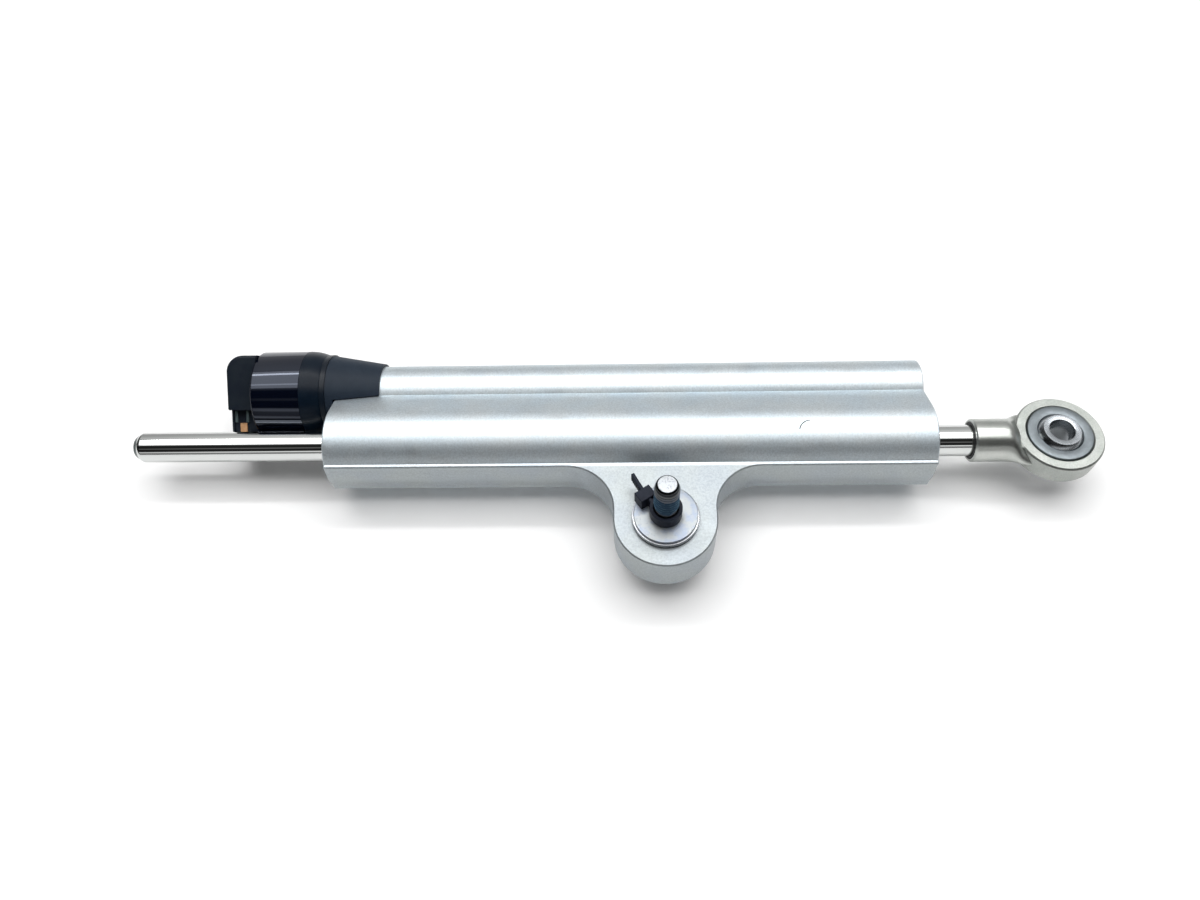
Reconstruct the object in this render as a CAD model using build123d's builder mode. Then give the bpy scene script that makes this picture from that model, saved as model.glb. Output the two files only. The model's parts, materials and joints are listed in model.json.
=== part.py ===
from build123d import *
import os
from math import cos, radians, sin, sqrt

os.makedirs("parts", exist_ok=True)

# Linear steering damper for a motorcycle. The piston rod runs right through the body, and a
# second, smaller tube behind it holds an electrically set damping valve.
# Lengths are in millimetres. The origin is the centre of the rod-end ball. X is the rod's axis
# and points out of the eye, Y points from the rod to the valve tube, and Z is up.

# Fits and gaps that all pieces share
running_gap = 0.04      # radial clearance of sliding and turning fits
seat_gap = 0.02         # clearance round a piece that is fixed in its seat
face_gap = 0.3          # space between faces that move past each other
turn_gap = 0.05         # space between flat faces that turn on each other
edge_break = 0.3        # chamfer of machined edges
overrun = 1.0           # how far a cut runs past a face

# Body: barrel, web, valve tube, rail and lug in one piece
body_length = 152.6
body_radius = 10.5
bore_radius = 8.0
tube_radius = 7.5
tube_y = 16.4
web_angle = 26.0        # the flat web leaves the barrel this far behind its top line
rail_half = 5.25        # half the thickness of the rail and the lug
rail_y = 10.0           # front face of the rail, ahead of the rod's axis
lug_radius = 12.5
lug_reach = 14.6        # rail's front face to the lug's centre
lug_fillet = 12.0
fillet_room_share = 0.95
lug_from_right = 67.1   # lug's centre to the body's right end

# Rod and stroke, as the damper is parked
rod_radius = 4.0
mouth_to_body = 10.8    # body's right end to the rod end's mouth
stop_gap = 1.0          # left there when the rod is fully in
stop_spare = 2.1        # left between the piston and each bump stop at the ends of the stroke
rod_tail = 52.6         # rod that stands out of the body's left end
tip_radius = 2.7
tip_length = 2.0

# Rod end
eye_to_mouth = 21.6
neck_radius = 5.5
neck_length = 7.4
head_radius = 10.8
head_half = 3.0
head_chamfer = 0.4
blend_step = 0.3        # how far the neck's flare stays below the head's faces
blend_share = 0.65      # where the flare ends, as a share of the head's radius
mouth_depth = 2.2
mouth_radius = 4.8
stud_radius = 3.0
stud_length = 9.0

# Spherical bearings of the rod end and of the lug
bearing_radius = 8.0
race_half = 3.3
ball_radius = 6.35
ball_half = 4.5
ball_bore = 3.0         # radius of the bore for an M6 bolt

# Stack on the lug's ball
bolt_radius = 3.0
bolt_relief = 2.7       # radius of its neck under the washer and the tie
bolt_tip = 21.4         # tip above the lug's middle
tip_chamfer = 0.85
tilt_room = 0.5         # space between the lug and the flanges for the ball to tilt
flange_radius = 8.05
flange_thickness = 1.0
hub_radius = 4.4
washer_radius = 7.65
washer_thickness = 0.75
head_flange_radius = 6.6
head_flange = 1.3
hex_across = 10.0
hex_height = 4.7

# Cable tie round the bolt
tie_angle = 125.0       # direction of its tail, seen from above
tie_thickness = 0.85
tie_width = 3.2
tie_head_length = 3.0
tie_head_width = 4.2
tie_head_height = 3.7
tie_head_reach = 5.6
tie_head_side = 2.0
tie_tail_side = 1.8
tie_tail_width = 2.6
tie_tail_length = 6.6
tie_tail_bend = 7.0     # the tail leans this far to the right of the head

# Seal heads, one at each end of the barrel
clip_inset = 1.2
clip_thickness = 1.0
clip_groove = 0.7       # depth of its groove
clip_band = 1.5
clip_opening = 4.4
ear_radius = 1.0
ear_hole = 0.45
head_length = 24.0
seal_pocket_radius = 6.2
seal_pocket_depth = 6.5
wiper_length = 3.0
lip_clear = 0.8
bush_radius = 5.2
bush_length = 13.0
throat_radius = 4.6
ring_groove_at = 14.0
ring_wire = 0.7         # radius of the O-ring's cord
stop_radius = 6.4
stop_length = 9.0

# Piston
piston_length = 16.0
band_width = 6.0
band_depth = 1.2
rod_clip_depth = 0.6
rod_clip_radius = 5.4

# Valve in the tube
valve_bore = 5.0
gallery_wall = 4.0      # wall between the valve's bore and the reservoir
reservoir_depth = 23.6
reservoir_bore = 5.0
port_radius = 1.5
link_radius = 0.8
plug_spigot = 9.0
plug_flange_radius = 7.3
plug_flange = 2.9
push_hole = 1.6
push_radius = 1.3
sleeve_start = 9.6      # sleeve's near end, from the body's left end
sleeve_length = 30.0
sleeve_bore = 2.55
sleeve_seat = 2.0
spring_hole = 1.5
port_at = 10.1          # ports, from the sleeve's far end
groove_radius = 4.1
groove_half = 2.0
valve_ring_at = 5.0     # O-rings, each side of the ports
land_length = 3.0
waist_radius = 1.5
needle_travel = 1.5
needle_end_gap = 3.3    # room for the spring, as parked
spring_wire = 0.3

# Solenoid
can_radius = 11.8
can_wall = 0.9
can_length = 12.7
collar_length = 5.1
boot_overhang = 3.6     # boot's wide end, from the body's left end
collar_end_radius = 10.6
skirt_radius = 9.0
armature_tube_radius = 4.7
armature_tube_wall = 0.8
armature_radius = 3.86
armature_length = 13.0
armature_travel_room = 0.2
coil_radius = 9.7
bobbin_radius = 10.3
bobbin_flange = 1.0
bobbin_wall = 0.7
boot_end = 11.4         # boot's thin end, from the body's left end
boot_end_radius = 8.15
boot_lip_radius = 10.8
boot_lip = 1.3

# Connector on the can's end
connector_angle = 37.0  # its mouth points this far below the front
block_length = 8.0
block_top = 10.8
block_step = 3.6
block_half = 7.5
block_corner = 4.4
block_edge = 0.8
tower_half = 5.0
tower_reach = 14.0
tower_edge = 0.5
socket_wall = 1.0
socket_depth = 8.0
rail_width = 0.6
rail_height = 0.4
tab_width = 1.9
tab_length = 5.4
tab_thickness = 0.8
tab_proud = 0.3
tab_start = 7.1
tab_from_left = 3.3
pin_radius = 0.5
pin_spacing = 2.2
pin_start = 1.0
pin_end = 8.8
spigot_length = 1.5

# Compensator in the right end of the valve tube
plug_inset = 0.5
plug_length = 7.5
plug_socket = 2.5
plug_socket_depth = 4.0
piston_thick = 4.0
piston_gap = 2.9
compensator_wire = 0.5

# Places along the rod
mouth_x = -eye_to_mouth
body_right = mouth_x - mouth_to_body
body_left = body_right - body_length
body_middle = (body_left + body_right) / 2
lug_x = body_right - lug_from_right
lug_y = -(rail_y + lug_reach)
tail_x = body_left - rod_tail
stroke_in = mouth_to_body - stop_gap

# Planes and axes of the turned pieces. A section is drawn with X along the axis and the
# radius upwards, or for the two upright bearings with the radius along X.
rod_plane = Plane.XZ
tube_plane = Plane(origin=(0, tube_y, 0), x_dir=(1, 0, 0), z_dir=(0, -1, 0))
tube_axis = Axis((0, tube_y, 0), (1, 0, 0))
lug_plane = Plane(origin=(lug_x, lug_y, 0), x_dir=(1, 0, 0), z_dir=(0, -1, 0))
lug_axis = Axis((lug_x, lug_y, 0), (0, 0, 1))


# Closed section through the given corners
def section(plane, *corners):
    with BuildSketch(plane) as drawn:
        with BuildLine():
            Polyline(*corners, close=True)
        make_face()
    return drawn.sketch


# Section of a ring or a tube with square edges
def ring_section(plane, start, end, inner, outer):
    return section(plane, (start, inner), (end, inner), (end, outer), (start, outer))


# Section of an O-ring whose cord lies against the bore around it
def cord_section(plane, middle, bore, wire):
    with BuildSketch(plane) as drawn:
        with Locations((middle, bore - wire - seat_gap)):
            Circle(wire)
    return drawn.sketch


# Cross-section of the barrel with the flat web behind it, grown all round
def barrel_section(plane, grow):
    lean = radians(web_angle)
    reach = tube_y * sin(lean) - body_radius
    half_chord = sqrt(tube_radius ** 2 - reach ** 2)
    crease_y = tube_y - reach * sin(lean) - half_chord * cos(lean) + grow * sin(lean)
    crease_z = -reach * cos(lean) + half_chord * sin(lean) + grow * cos(lean)
    flat_y = (body_radius + grow) * sin(lean)
    flat_z = (body_radius + grow) * cos(lean)
    with BuildSketch(plane) as drawn:
        Circle(body_radius + grow)
        with BuildLine():
            Polyline((flat_y, flat_z), (crease_y, crease_z), (crease_y, -crease_z), (flat_y, -flat_z), close=True)
        make_face()
    return drawn.sketch


# Open retaining ring for a bore, with an eyelet at each end of the gap
def clip_section(plane, seat_radius):
    inner = seat_radius - clip_band
    ear_x = clip_opening / 2 + ear_radius - clip_groove
    with BuildSketch(plane) as drawn:
        Circle(seat_radius)
        Circle(inner, mode=Mode.SUBTRACT)
        with Locations((0, seat_radius)):
            Rectangle(clip_opening, 2 * seat_radius - 2 * clip_band, mode=Mode.SUBTRACT)
        with Locations((-ear_x, inner), (ear_x, inner)):
            Circle(ear_radius)
            Circle(ear_hole, mode=Mode.SUBTRACT)
    return drawn.sketch


# Section of a ball with a bore and two flats, about an upright axis
def ball_section(plane):
    flat_radius = sqrt(ball_radius ** 2 - ball_half ** 2)
    with BuildSketch(plane) as drawn:
        with BuildLine():
            Polyline((flat_radius, ball_half), (ball_bore, ball_half), (ball_bore, -ball_half), (flat_radius, -ball_half))
            ThreePointArc((flat_radius, -ball_half), (ball_radius, 0), (flat_radius, ball_half))
        make_face()
    return drawn.sketch


# Section of the race that holds a ball
def race_section(plane):
    hollow = ball_radius + running_gap
    throat = sqrt(hollow ** 2 - race_half ** 2)
    outer = bearing_radius - seat_gap
    with BuildSketch(plane) as drawn:
        with BuildLine():
            Polyline((throat, -race_half), (outer, -race_half), (outer, race_half), (throat, race_half))
            ThreePointArc((throat, race_half), (hollow, 0), (throat, -race_half))
        make_face()
    return drawn.sketch


# Damper body
head_seat = clip_inset + clip_thickness + 2 * seat_gap    # seal head's outer face, from the end
head_inner = head_seat + head_length
gallery_end = body_right - reservoir_depth - gallery_wall
reservoir_end = body_right - reservoir_depth
sleeve_left = body_left + sleeve_start
sleeve_right = sleeve_left + sleeve_length
left_port_x = sleeve_right - port_at
right_port_x = body_right - head_inner - port_radius - stop_gap
clip_seat_radius = bore_radius + clip_groove
lug_clip_z = race_half + seat_gap

# rail and lug, drawn from above
with BuildPart() as rail_and_lug:
    with BuildSketch(Plane.XY.offset(-rail_half)) as plate:
        with Locations((body_middle, -rail_y / 2)):
            Rectangle(body_length, rail_y)
        with Locations((lug_x, lug_y / 2)):
            Rectangle(2 * lug_radius, -lug_y)
        roots = plate.vertices().group_by(Axis.Y)[1].sort_by(Axis.X)[1:3]
        fillet(roots, radius=min(lug_fillet, fillet_room_share * lug_reach))
        with Locations((lug_x, lug_y)):
            Circle(lug_radius)
    extrude(amount=2 * rail_half)
    rims = rail_and_lug.faces().filter_by(Axis.Z).edges()
    corners = rail_and_lug.edges().filter_by(Axis.Z).group_by(Axis.X)
    chamfer(rims + corners[0].sort_by(Axis.Y)[:1] + corners[-1].sort_by(Axis.Y)[:1], length=edge_break)

with BuildPart() as damper_body:
    extrude(barrel_section(Plane.YZ.offset(body_left), 0), amount=body_length)
    with BuildSketch(Plane.YZ.offset(body_left)):
        with Locations((tube_y, 0)):
            Circle(tube_radius)
    extrude(amount=body_length)
    end_faces = damper_body.faces().filter_by(Axis.X).group_by(Axis.X)
    chamfer(end_faces[0].edges() + end_faces[-1].edges(), length=edge_break)
    add(rail_and_lug.part)
    # bores of the barrel, the valve and the reservoir
    with BuildSketch(Plane.YZ.offset(body_left - overrun)):
        Circle(bore_radius)
    extrude(amount=body_length + 2 * overrun, mode=Mode.SUBTRACT)
    revolve(ring_section(tube_plane, body_left - overrun, gallery_end, 0, valve_bore), axis=tube_axis, mode=Mode.SUBTRACT)
    revolve(ring_section(tube_plane, reservoir_end, body_right + overrun, 0, reservoir_bore), axis=tube_axis, mode=Mode.SUBTRACT)
    revolve(ring_section(tube_plane, gallery_end - overrun, reservoir_end + overrun, 0, link_radius), axis=tube_axis, mode=Mode.SUBTRACT)
    # oil ports between the barrel and the valve's bore, one on each side of the piston
    with BuildSketch(Plane.XZ):
        with Locations((left_port_x, 0), (right_port_x, 0)):
            Circle(port_radius)
    extrude(amount=-tube_y, mode=Mode.SUBTRACT)
    # grooves for the retaining rings
    for end_x, inward in ((body_left, 1), (body_right, -1)):
        groove_start = end_x + inward * clip_inset
        groove_stop = end_x + inward * head_seat
        revolve(ring_section(rod_plane, groove_start, groove_stop, 0, clip_seat_radius), axis=Axis.X, mode=Mode.SUBTRACT)
    # the lug's bore for its bearing
    with Locations((lug_x, lug_y, rail_half)):
        Hole(bearing_radius)
    for low in (lug_clip_z, -lug_clip_z - clip_thickness - 2 * seat_gap):
        with BuildSketch(Plane.XY.offset(low)):
            with Locations((lug_x, lug_y)):
                Circle(bearing_radius + clip_groove)
        extrude(amount=clip_thickness + 2 * seat_gap, mode=Mode.SUBTRACT)
damper_body.part.label = "damper_body"
export_step(damper_body.part, "parts/damper_body.step")

# Seal heads and what each of them holds, at the left and the right end of the barrel
for side, end_x, inward in (("left", body_left, 1), ("right", body_right, -1)):
    face_x = end_x + inward * head_seat
    inner_x = face_x + inward * head_length
    pocket_x = face_x + inward * seal_pocket_depth
    bush_x = pocket_x + inward * (bush_length + 2 * seat_gap)
    groove_x = face_x + inward * ring_groove_at
    groove_reach = inward * (ring_wire + 2 * seat_gap)
    head_outer = bore_radius - seat_gap
    groove_floor = head_outer - 2 * ring_wire - seat_gap

    with BuildPart() as seal_head:
        revolve(
            section(
                rod_plane,
                (face_x, seal_pocket_radius), (face_x, head_outer),
                (groove_x - groove_reach, head_outer), (groove_x - groove_reach, groove_floor),
                (groove_x + groove_reach, groove_floor), (groove_x + groove_reach, head_outer),
                (inner_x, head_outer), (inner_x, throat_radius), (bush_x, throat_radius), (bush_x, bush_radius),
                (pocket_x, bush_radius), (pocket_x, seal_pocket_radius),
            ),
            axis=Axis.X,
        )
    seal_head.part.label = f"{side}_seal_head"
    export_step(seal_head.part, f"parts/{side}_seal_head.step")

    with BuildPart() as guide_bush:
        bush_start = pocket_x + inward * seat_gap
        bush_end = bush_start + inward * bush_length
        bush_outer = bush_radius - seat_gap
        revolve(ring_section(rod_plane, bush_start, bush_end, rod_radius + running_gap, bush_outer), axis=Axis.X)
    guide_bush.part.label = f"{side}_guide_bush"
    export_step(guide_bush.part, f"parts/{side}_guide_bush.step")

    # the rod seal's lip leans on the rod at its inner end
    with BuildPart() as rod_seal:
        seal_start = face_x + inward * (wiper_length + seat_gap)
        seal_stop = pocket_x - inward * seat_gap
        lip_x = seal_stop - inward * lip_clear
        seal_outer = seal_pocket_radius - seat_gap
        revolve(
            section(
                rod_plane,
                (seal_start, rod_radius + lip_clear), (seal_start, seal_outer), (seal_stop, seal_outer),
                (seal_stop, rod_radius + running_gap), (lip_x, rod_radius + running_gap),
            ),
            axis=Axis.X,
        )
    rod_seal.part.label = f"{side}_rod_seal"
    export_step(rod_seal.part, f"parts/{side}_rod_seal.step")

    # the wiper's lip looks outwards and keeps dirt off the seal
    with BuildPart() as rod_wiper:
        wiper_stop = face_x + inward * wiper_length
        lip_x = face_x - inward * lip_clear
        revolve(
            section(
                rod_plane,
                (face_x, seal_outer), (wiper_stop, seal_outer), (wiper_stop, rod_radius + lip_clear),
                (face_x, rod_radius + running_gap), (lip_x, rod_radius + running_gap),
                (lip_x, rod_radius + lip_clear / 2), (face_x, rod_radius + 2 * lip_clear),
            ),
            axis=Axis.X,
        )
    rod_wiper.part.label = f"{side}_rod_wiper"
    export_step(rod_wiper.part, f"parts/{side}_rod_wiper.step")

    with BuildPart() as head_o_ring:
        revolve(cord_section(rod_plane, groove_x, bore_radius, ring_wire), axis=Axis.X)
    head_o_ring.part.label = f"{side}_head_o_ring"
    export_step(head_o_ring.part, f"parts/{side}_head_o_ring.step")

    with BuildPart() as retaining_ring:
        ring_x = min(end_x + inward * (clip_inset + seat_gap), end_x + inward * (clip_inset + seat_gap + clip_thickness))
        extrude(clip_section(Plane.YZ.offset(ring_x), clip_seat_radius - seat_gap), amount=clip_thickness)
    retaining_ring.part.label = f"{side}_retaining_ring"
    export_step(retaining_ring.part, f"parts/{side}_retaining_ring.step")

    # elastic stop for the piston, against the seal head's inner face
    with BuildPart() as bump_stop:
        revolve(ring_section(rod_plane, inner_x, inner_x + inward * stop_length, throat_radius, stop_radius), axis=Axis.X)
        chamfer(bump_stop.edges().filter_by(GeomType.CIRCLE).group_by(SortBy.RADIUS)[-1], length=edge_break)
    bump_stop.part.label = f"{side}_bump_stop"
    export_step(bump_stop.part, f"parts/{side}_bump_stop.step")

# Piston rod: a rounded tail at the left, two grooves for the piston's clips, and a stud for
# the rod end at the right
left_stop_x = body_left + head_inner + stop_length
right_stop_x = body_right - head_inner - stop_length
shoulder_x = mouth_x + mouth_depth
stud_x = shoulder_x + stud_length
clip_floor = rod_radius - rod_clip_depth
clip_room = clip_thickness + 2 * seat_gap
piston_left = left_stop_x + stop_spare + clip_room + stroke_in
piston_right = piston_left + piston_length
piston_x = (piston_left + piston_right) / 2
stroke_out = right_stop_x - stop_spare - clip_room - piston_right
print("stroke", round(stroke_in, 2), "in and", round(stroke_out, 2), "out")

with BuildPart() as piston_rod:
    revolve(
        section(
            rod_plane,
            (tail_x, 0), (tail_x, tip_radius), (tail_x + tip_length, rod_radius),
            (piston_left - clip_room, rod_radius), (piston_left - clip_room, clip_floor),
            (piston_left, clip_floor), (piston_left, rod_radius),
            (piston_right, rod_radius), (piston_right, clip_floor),
            (piston_right + clip_room, clip_floor), (piston_right + clip_room, rod_radius),
            (shoulder_x, rod_radius), (shoulder_x, stud_radius - seat_gap), (stud_x, stud_radius - seat_gap), (stud_x, 0),
        ),
        axis=Axis.X,
    )
    fillet(piston_rod.edges().filter_by(GeomType.CIRCLE).sort_by(Axis.X)[:2], radius=edge_break)
piston_rod.part.label = "piston_rod"
export_step(piston_rod.part, "parts/piston_rod.step")

# Piston with a wide groove for its band
piston_outer = bore_radius - 2 * running_gap
with BuildPart() as piston:
    revolve(
        section(
            rod_plane,
            (piston_left + turn_gap, rod_radius + running_gap), (piston_left + turn_gap, piston_outer),
            (piston_x - band_width / 2, piston_outer), (piston_x - band_width / 2, piston_outer - band_depth),
            (piston_x + band_width / 2, piston_outer - band_depth), (piston_x + band_width / 2, piston_outer),
            (piston_right - turn_gap, piston_outer), (piston_right - turn_gap, rod_radius + running_gap),
        ),
        axis=Axis.X,
    )
piston.part.label = "piston"
export_step(piston.part, "parts/piston.step")

with BuildPart() as piston_band:
    band_left = piston_x - band_width / 2 + seat_gap
    band_right = piston_x + band_width / 2 - seat_gap
    band_inner = piston_outer - band_depth + seat_gap
    revolve(ring_section(rod_plane, band_left, band_right, band_inner, bore_radius - running_gap), axis=Axis.X)
piston_band.part.label = "piston_band"
export_step(piston_band.part, "parts/piston_band.step")

# The two clips in the rod's grooves, one on each side of the piston
with BuildPart() as piston_clips:
    for clip_x in (piston_left - clip_room + seat_gap, piston_right + seat_gap):
        clip_end = clip_x + clip_thickness
        revolve(ring_section(rod_plane, clip_x, clip_end, clip_floor + seat_gap, rod_clip_radius), axis=Axis.X)
piston_clips.part.label = "piston_clips"
export_step(piston_clips.part, "parts/piston_clips.step")

# Rod end: turned neck that flattens into a round head with a bearing bore
neck_x = mouth_x + neck_length
blend_x = -blend_share * head_radius
blend_run = blend_x - neck_x
blend_half = head_half - blend_step
face_radius = head_radius - head_chamfer
blend_wide = sqrt(face_radius ** 2 - blend_x ** 2)
with BuildPart() as rod_end_housing:
    with BuildSketch(Plane.YZ.offset(mouth_x)):
        Circle(neck_radius)
    extrude(amount=neck_length)
    chamfer(rod_end_housing.edges().sort_by(Axis.X)[0], length=edge_break)
    # sections of the flare: share of its run, share of its widening, share of its thinning
    for along, wider, thinner in ((0, 0, 0), (0.17, 0.03, 0.07), (0.31, 0.14, 0.25), (0.45, 0.37, 0.6), (0.6, 0.66, 0.9), (0.8, 0.9, 1), (1, 1, 1)):
        half_wide = neck_radius + wider * (blend_wide - neck_radius)
        half_high = neck_radius - thinner * (neck_radius - blend_half)
        with BuildSketch(Plane.YZ.offset(neck_x + along * blend_run)):
            Ellipse(half_wide, half_high)
    loft()
    wall_half = head_half - head_chamfer
    revolve(
        section(
            rod_plane,
            (0, -head_half), (face_radius, -head_half), (head_radius, -wall_half),
            (head_radius, wall_half), (face_radius, head_half), (0, head_half),
        ),
        axis=Axis.Z,
    )
    # bearing bore with a chamfer at each end
    flare_radius = bearing_radius + head_chamfer + overrun
    flare_z = head_half + overrun
    revolve(
        section(
            rod_plane,
            (0, -flare_z), (flare_radius, -flare_z), (bearing_radius, head_chamfer - head_half),
            (bearing_radius, head_half - head_chamfer), (flare_radius, flare_z), (0, flare_z),
        ),
        axis=Axis.Z,
        mode=Mode.SUBTRACT,
    )
    revolve(
        section(
            rod_plane,
            (mouth_x - overrun, 0), (mouth_x - overrun, mouth_radius), (shoulder_x, mouth_radius),
            (shoulder_x, stud_radius), (stud_x + stop_gap / 2, stud_radius), (stud_x + stop_gap / 2, 0),
        ),
        axis=Axis.X,
        mode=Mode.SUBTRACT,
    )
rod_end_housing.part.label = "rod_end_housing"
export_step(rod_end_housing.part, "parts/rod_end_housing.step")

with BuildPart() as rod_end_race:
    revolve(race_section(Plane.XZ), axis=Axis.Z)
rod_end_race.part.label = "rod_end_race"
export_step(rod_end_race.part, "parts/rod_end_race.step")

with BuildPart() as rod_end_ball:
    revolve(ball_section(Plane.XZ), axis=Axis.Z)
rod_end_ball.part.label = "rod_end_ball"
export_step(rod_end_ball.part, "parts/rod_end_ball.step")

# Black ring in the rod end's mouth
with BuildPart() as mouth_ring:
    ring_end = shoulder_x - seat_gap
    revolve(ring_section(rod_plane, mouth_x, ring_end, rod_radius + seat_gap, mouth_radius - seat_gap), axis=Axis.X)
mouth_ring.part.label = "mouth_ring"
export_step(mouth_ring.part, "parts/mouth_ring.step")

# Lug bearing
with BuildPart() as lug_race:
    revolve(race_section(lug_plane), axis=lug_axis)
lug_race.part.label = "lug_race"
export_step(lug_race.part, "parts/lug_race.step")

with BuildPart() as lug_ball:
    revolve(ball_section(lug_plane), axis=lug_axis)
lug_ball.part.label = "lug_ball"
export_step(lug_ball.part, "parts/lug_ball.step")

# Retaining rings above and below the lug's race
with BuildPart() as lug_retaining_rings:
    for low in (lug_clip_z + seat_gap, -lug_clip_z - clip_thickness - seat_gap):
        ring_plane = Plane(origin=(lug_x, lug_y, low))
        extrude(clip_section(ring_plane, bearing_radius + clip_groove - seat_gap), amount=clip_thickness)
lug_retaining_rings.part.label = "lug_retaining_rings"
export_step(lug_retaining_rings.part, "parts/lug_retaining_rings.step")

# Flanged spacers on the ball's two faces, clear of the lug so that the ball can tilt
flange_z = rail_half + tilt_room
spacer_top = flange_z + flange_thickness
for side, up in (("upper", 1), ("lower", -1)):
    with BuildPart() as spacer:
        bolt_hole = bolt_radius + running_gap
        revolve(
            section(
                lug_plane,
                (bolt_hole, up * ball_half), (hub_radius, up * ball_half), (hub_radius, up * flange_z),
                (flange_radius, up * flange_z), (flange_radius, up * spacer_top), (bolt_hole, up * spacer_top),
            ),
            axis=lug_axis,
        )
        chamfer(spacer.edges().filter_by(GeomType.CIRCLE).group_by(SortBy.RADIUS)[-1], length=seat_gap * 5)
    spacer.part.label = f"{side}_spacer"
    export_step(spacer.part, f"parts/{side}_spacer.step")

# Bolt that fastens the lug to the motorcycle, head down. Its free thread starts above the tie.
washer_low = spacer_top + turn_gap
washer_top = washer_low + washer_thickness
thread_start = washer_top + tie_head_height + face_gap
head_top = -spacer_top - turn_gap
hex_top = head_top - head_flange
hex_bottom = hex_top - hex_height
with BuildPart() as frame_bolt:
    revolve(
        section(
            lug_plane,
            (0, hex_top), (head_flange_radius, hex_top), (head_flange_radius, hex_top + head_flange / 2),
            (hex_across / 2, head_top), (bolt_radius - running_gap, head_top), (bolt_radius - running_gap, spacer_top),
            (bolt_relief, spacer_top), (bolt_relief, thread_start),
            (bolt_radius, thread_start), (bolt_radius, bolt_tip - tip_chamfer),
            (bolt_radius - tip_chamfer, bolt_tip), (0, bolt_tip),
        ),
        axis=lug_axis,
    )
    with BuildSketch(Plane.XY.offset(hex_bottom)):
        with Locations((lug_x, lug_y)):
            RegularPolygon(hex_across / 2, 6, major_radius=False)
    extrude(amount=hex_height)
    chamfer(frame_bolt.faces().sort_by(Axis.Z)[0].edges(), length=edge_break)
frame_bolt.part.label = "frame_bolt"
export_step(frame_bolt.part, "parts/frame_bolt.step")

with BuildPart() as bolt_washer:
    revolve(
        section(
            lug_plane,
            (bolt_radius + seat_gap, washer_low), (washer_radius, washer_low),
            (washer_radius, washer_top), (bolt_radius + seat_gap, washer_top),
        ),
        axis=lug_axis,
    )
    chamfer(bolt_washer.edges().filter_by(GeomType.CIRCLE).group_by(SortBy.RADIUS)[-1], length=seat_gap * 5)
bolt_washer.part.label = "bolt_washer"
export_step(bolt_washer.part, "parts/bolt_washer.step")

# Cable tie: loop, head and tail in one piece, standing on the washer
tie_turn = radians(tie_angle)
tie_plane = Plane(origin=(lug_x, lug_y, washer_top), x_dir=(cos(tie_turn), sin(tie_turn), 0), z_dir=(0, 0, 1))
tie_outer = bolt_radius + seat_gap + tie_thickness
with BuildPart() as cable_tie:
    with BuildSketch(tie_plane):
        Circle(tie_outer)
        with Locations(((tie_head_reach + tie_outer / 2) / 2, tie_tail_side)):
            Rectangle(tie_head_reach - tie_outer / 2, tie_thickness)
    extrude(amount=tie_width)
    with BuildSketch(tie_plane):
        with Locations((tie_head_reach, tie_head_side)):
            Rectangle(tie_head_length, tie_head_width)
    extrude(amount=tie_head_height)
    bend = radians(tie_tail_bend)
    tie_tail_x = tie_head_reach + tie_tail_length / 2 * cos(bend)
    tie_tail_y = tie_tail_side - tie_tail_length / 2 * sin(bend)
    with BuildSketch(tie_plane.offset((tie_width - tie_tail_width) / 2)):
        with Locations((tie_tail_x, tie_tail_y)):
            Rectangle(tie_tail_length, tie_thickness, rotation=-tie_tail_bend)
    extrude(amount=tie_tail_width)
    with BuildSketch(tie_plane):
        Circle(bolt_radius + seat_gap)
    extrude(amount=tie_head_height, mode=Mode.SUBTRACT)
cable_tie.part.label = "cable_tie"
export_step(cable_tie.part, "parts/cable_tie.step")

# Valve plug: screwed into the tube's left end, with the closed armature tube in one piece
plug_flange_x = body_left - seat_gap - plug_flange
collar_right = body_left - boot_overhang
can_right = collar_right - collar_length
can_left = can_right - can_length
armature_tube_left = can_left + spigot_length + 2 * seat_gap
armature_bore = armature_tube_radius - armature_tube_wall
armature_left = armature_tube_left + armature_tube_wall + armature_travel_room
armature_right = armature_left + armature_length
pole_x = armature_right + needle_travel + armature_travel_room
with BuildPart() as valve_plug:
    revolve(
        section(
            tube_plane,
            (armature_tube_left, 0), (armature_tube_left, armature_tube_radius),
            (plug_flange_x, armature_tube_radius), (plug_flange_x, plug_flange_radius),
            (body_left - seat_gap, plug_flange_radius), (body_left - seat_gap, valve_bore - seat_gap),
            (body_left + plug_spigot, valve_bore - seat_gap), (body_left + plug_spigot, push_hole),
            (pole_x, push_hole), (pole_x, armature_bore),
            (armature_tube_left + armature_tube_wall, armature_bore), (armature_tube_left + armature_tube_wall, 0),
        ),
        axis=tube_axis,
    )
    groove_x = body_left + plug_spigot / 2
    groove_low = valve_bore - seat_gap - 2 * ring_wire - seat_gap
    revolve(
        ring_section(tube_plane, groove_x - ring_wire - seat_gap, groove_x + ring_wire + seat_gap, groove_low, valve_bore),
        axis=tube_axis,
        mode=Mode.SUBTRACT,
    )
valve_plug.part.label = "valve_plug"
export_step(valve_plug.part, "parts/valve_plug.step")

with BuildPart() as plug_o_ring:
    revolve(cord_section(tube_plane, groove_x, valve_bore, ring_wire), axis=tube_axis)
plug_o_ring.part.label = "plug_o_ring"
export_step(plug_o_ring.part, "parts/plug_o_ring.step")

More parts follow.
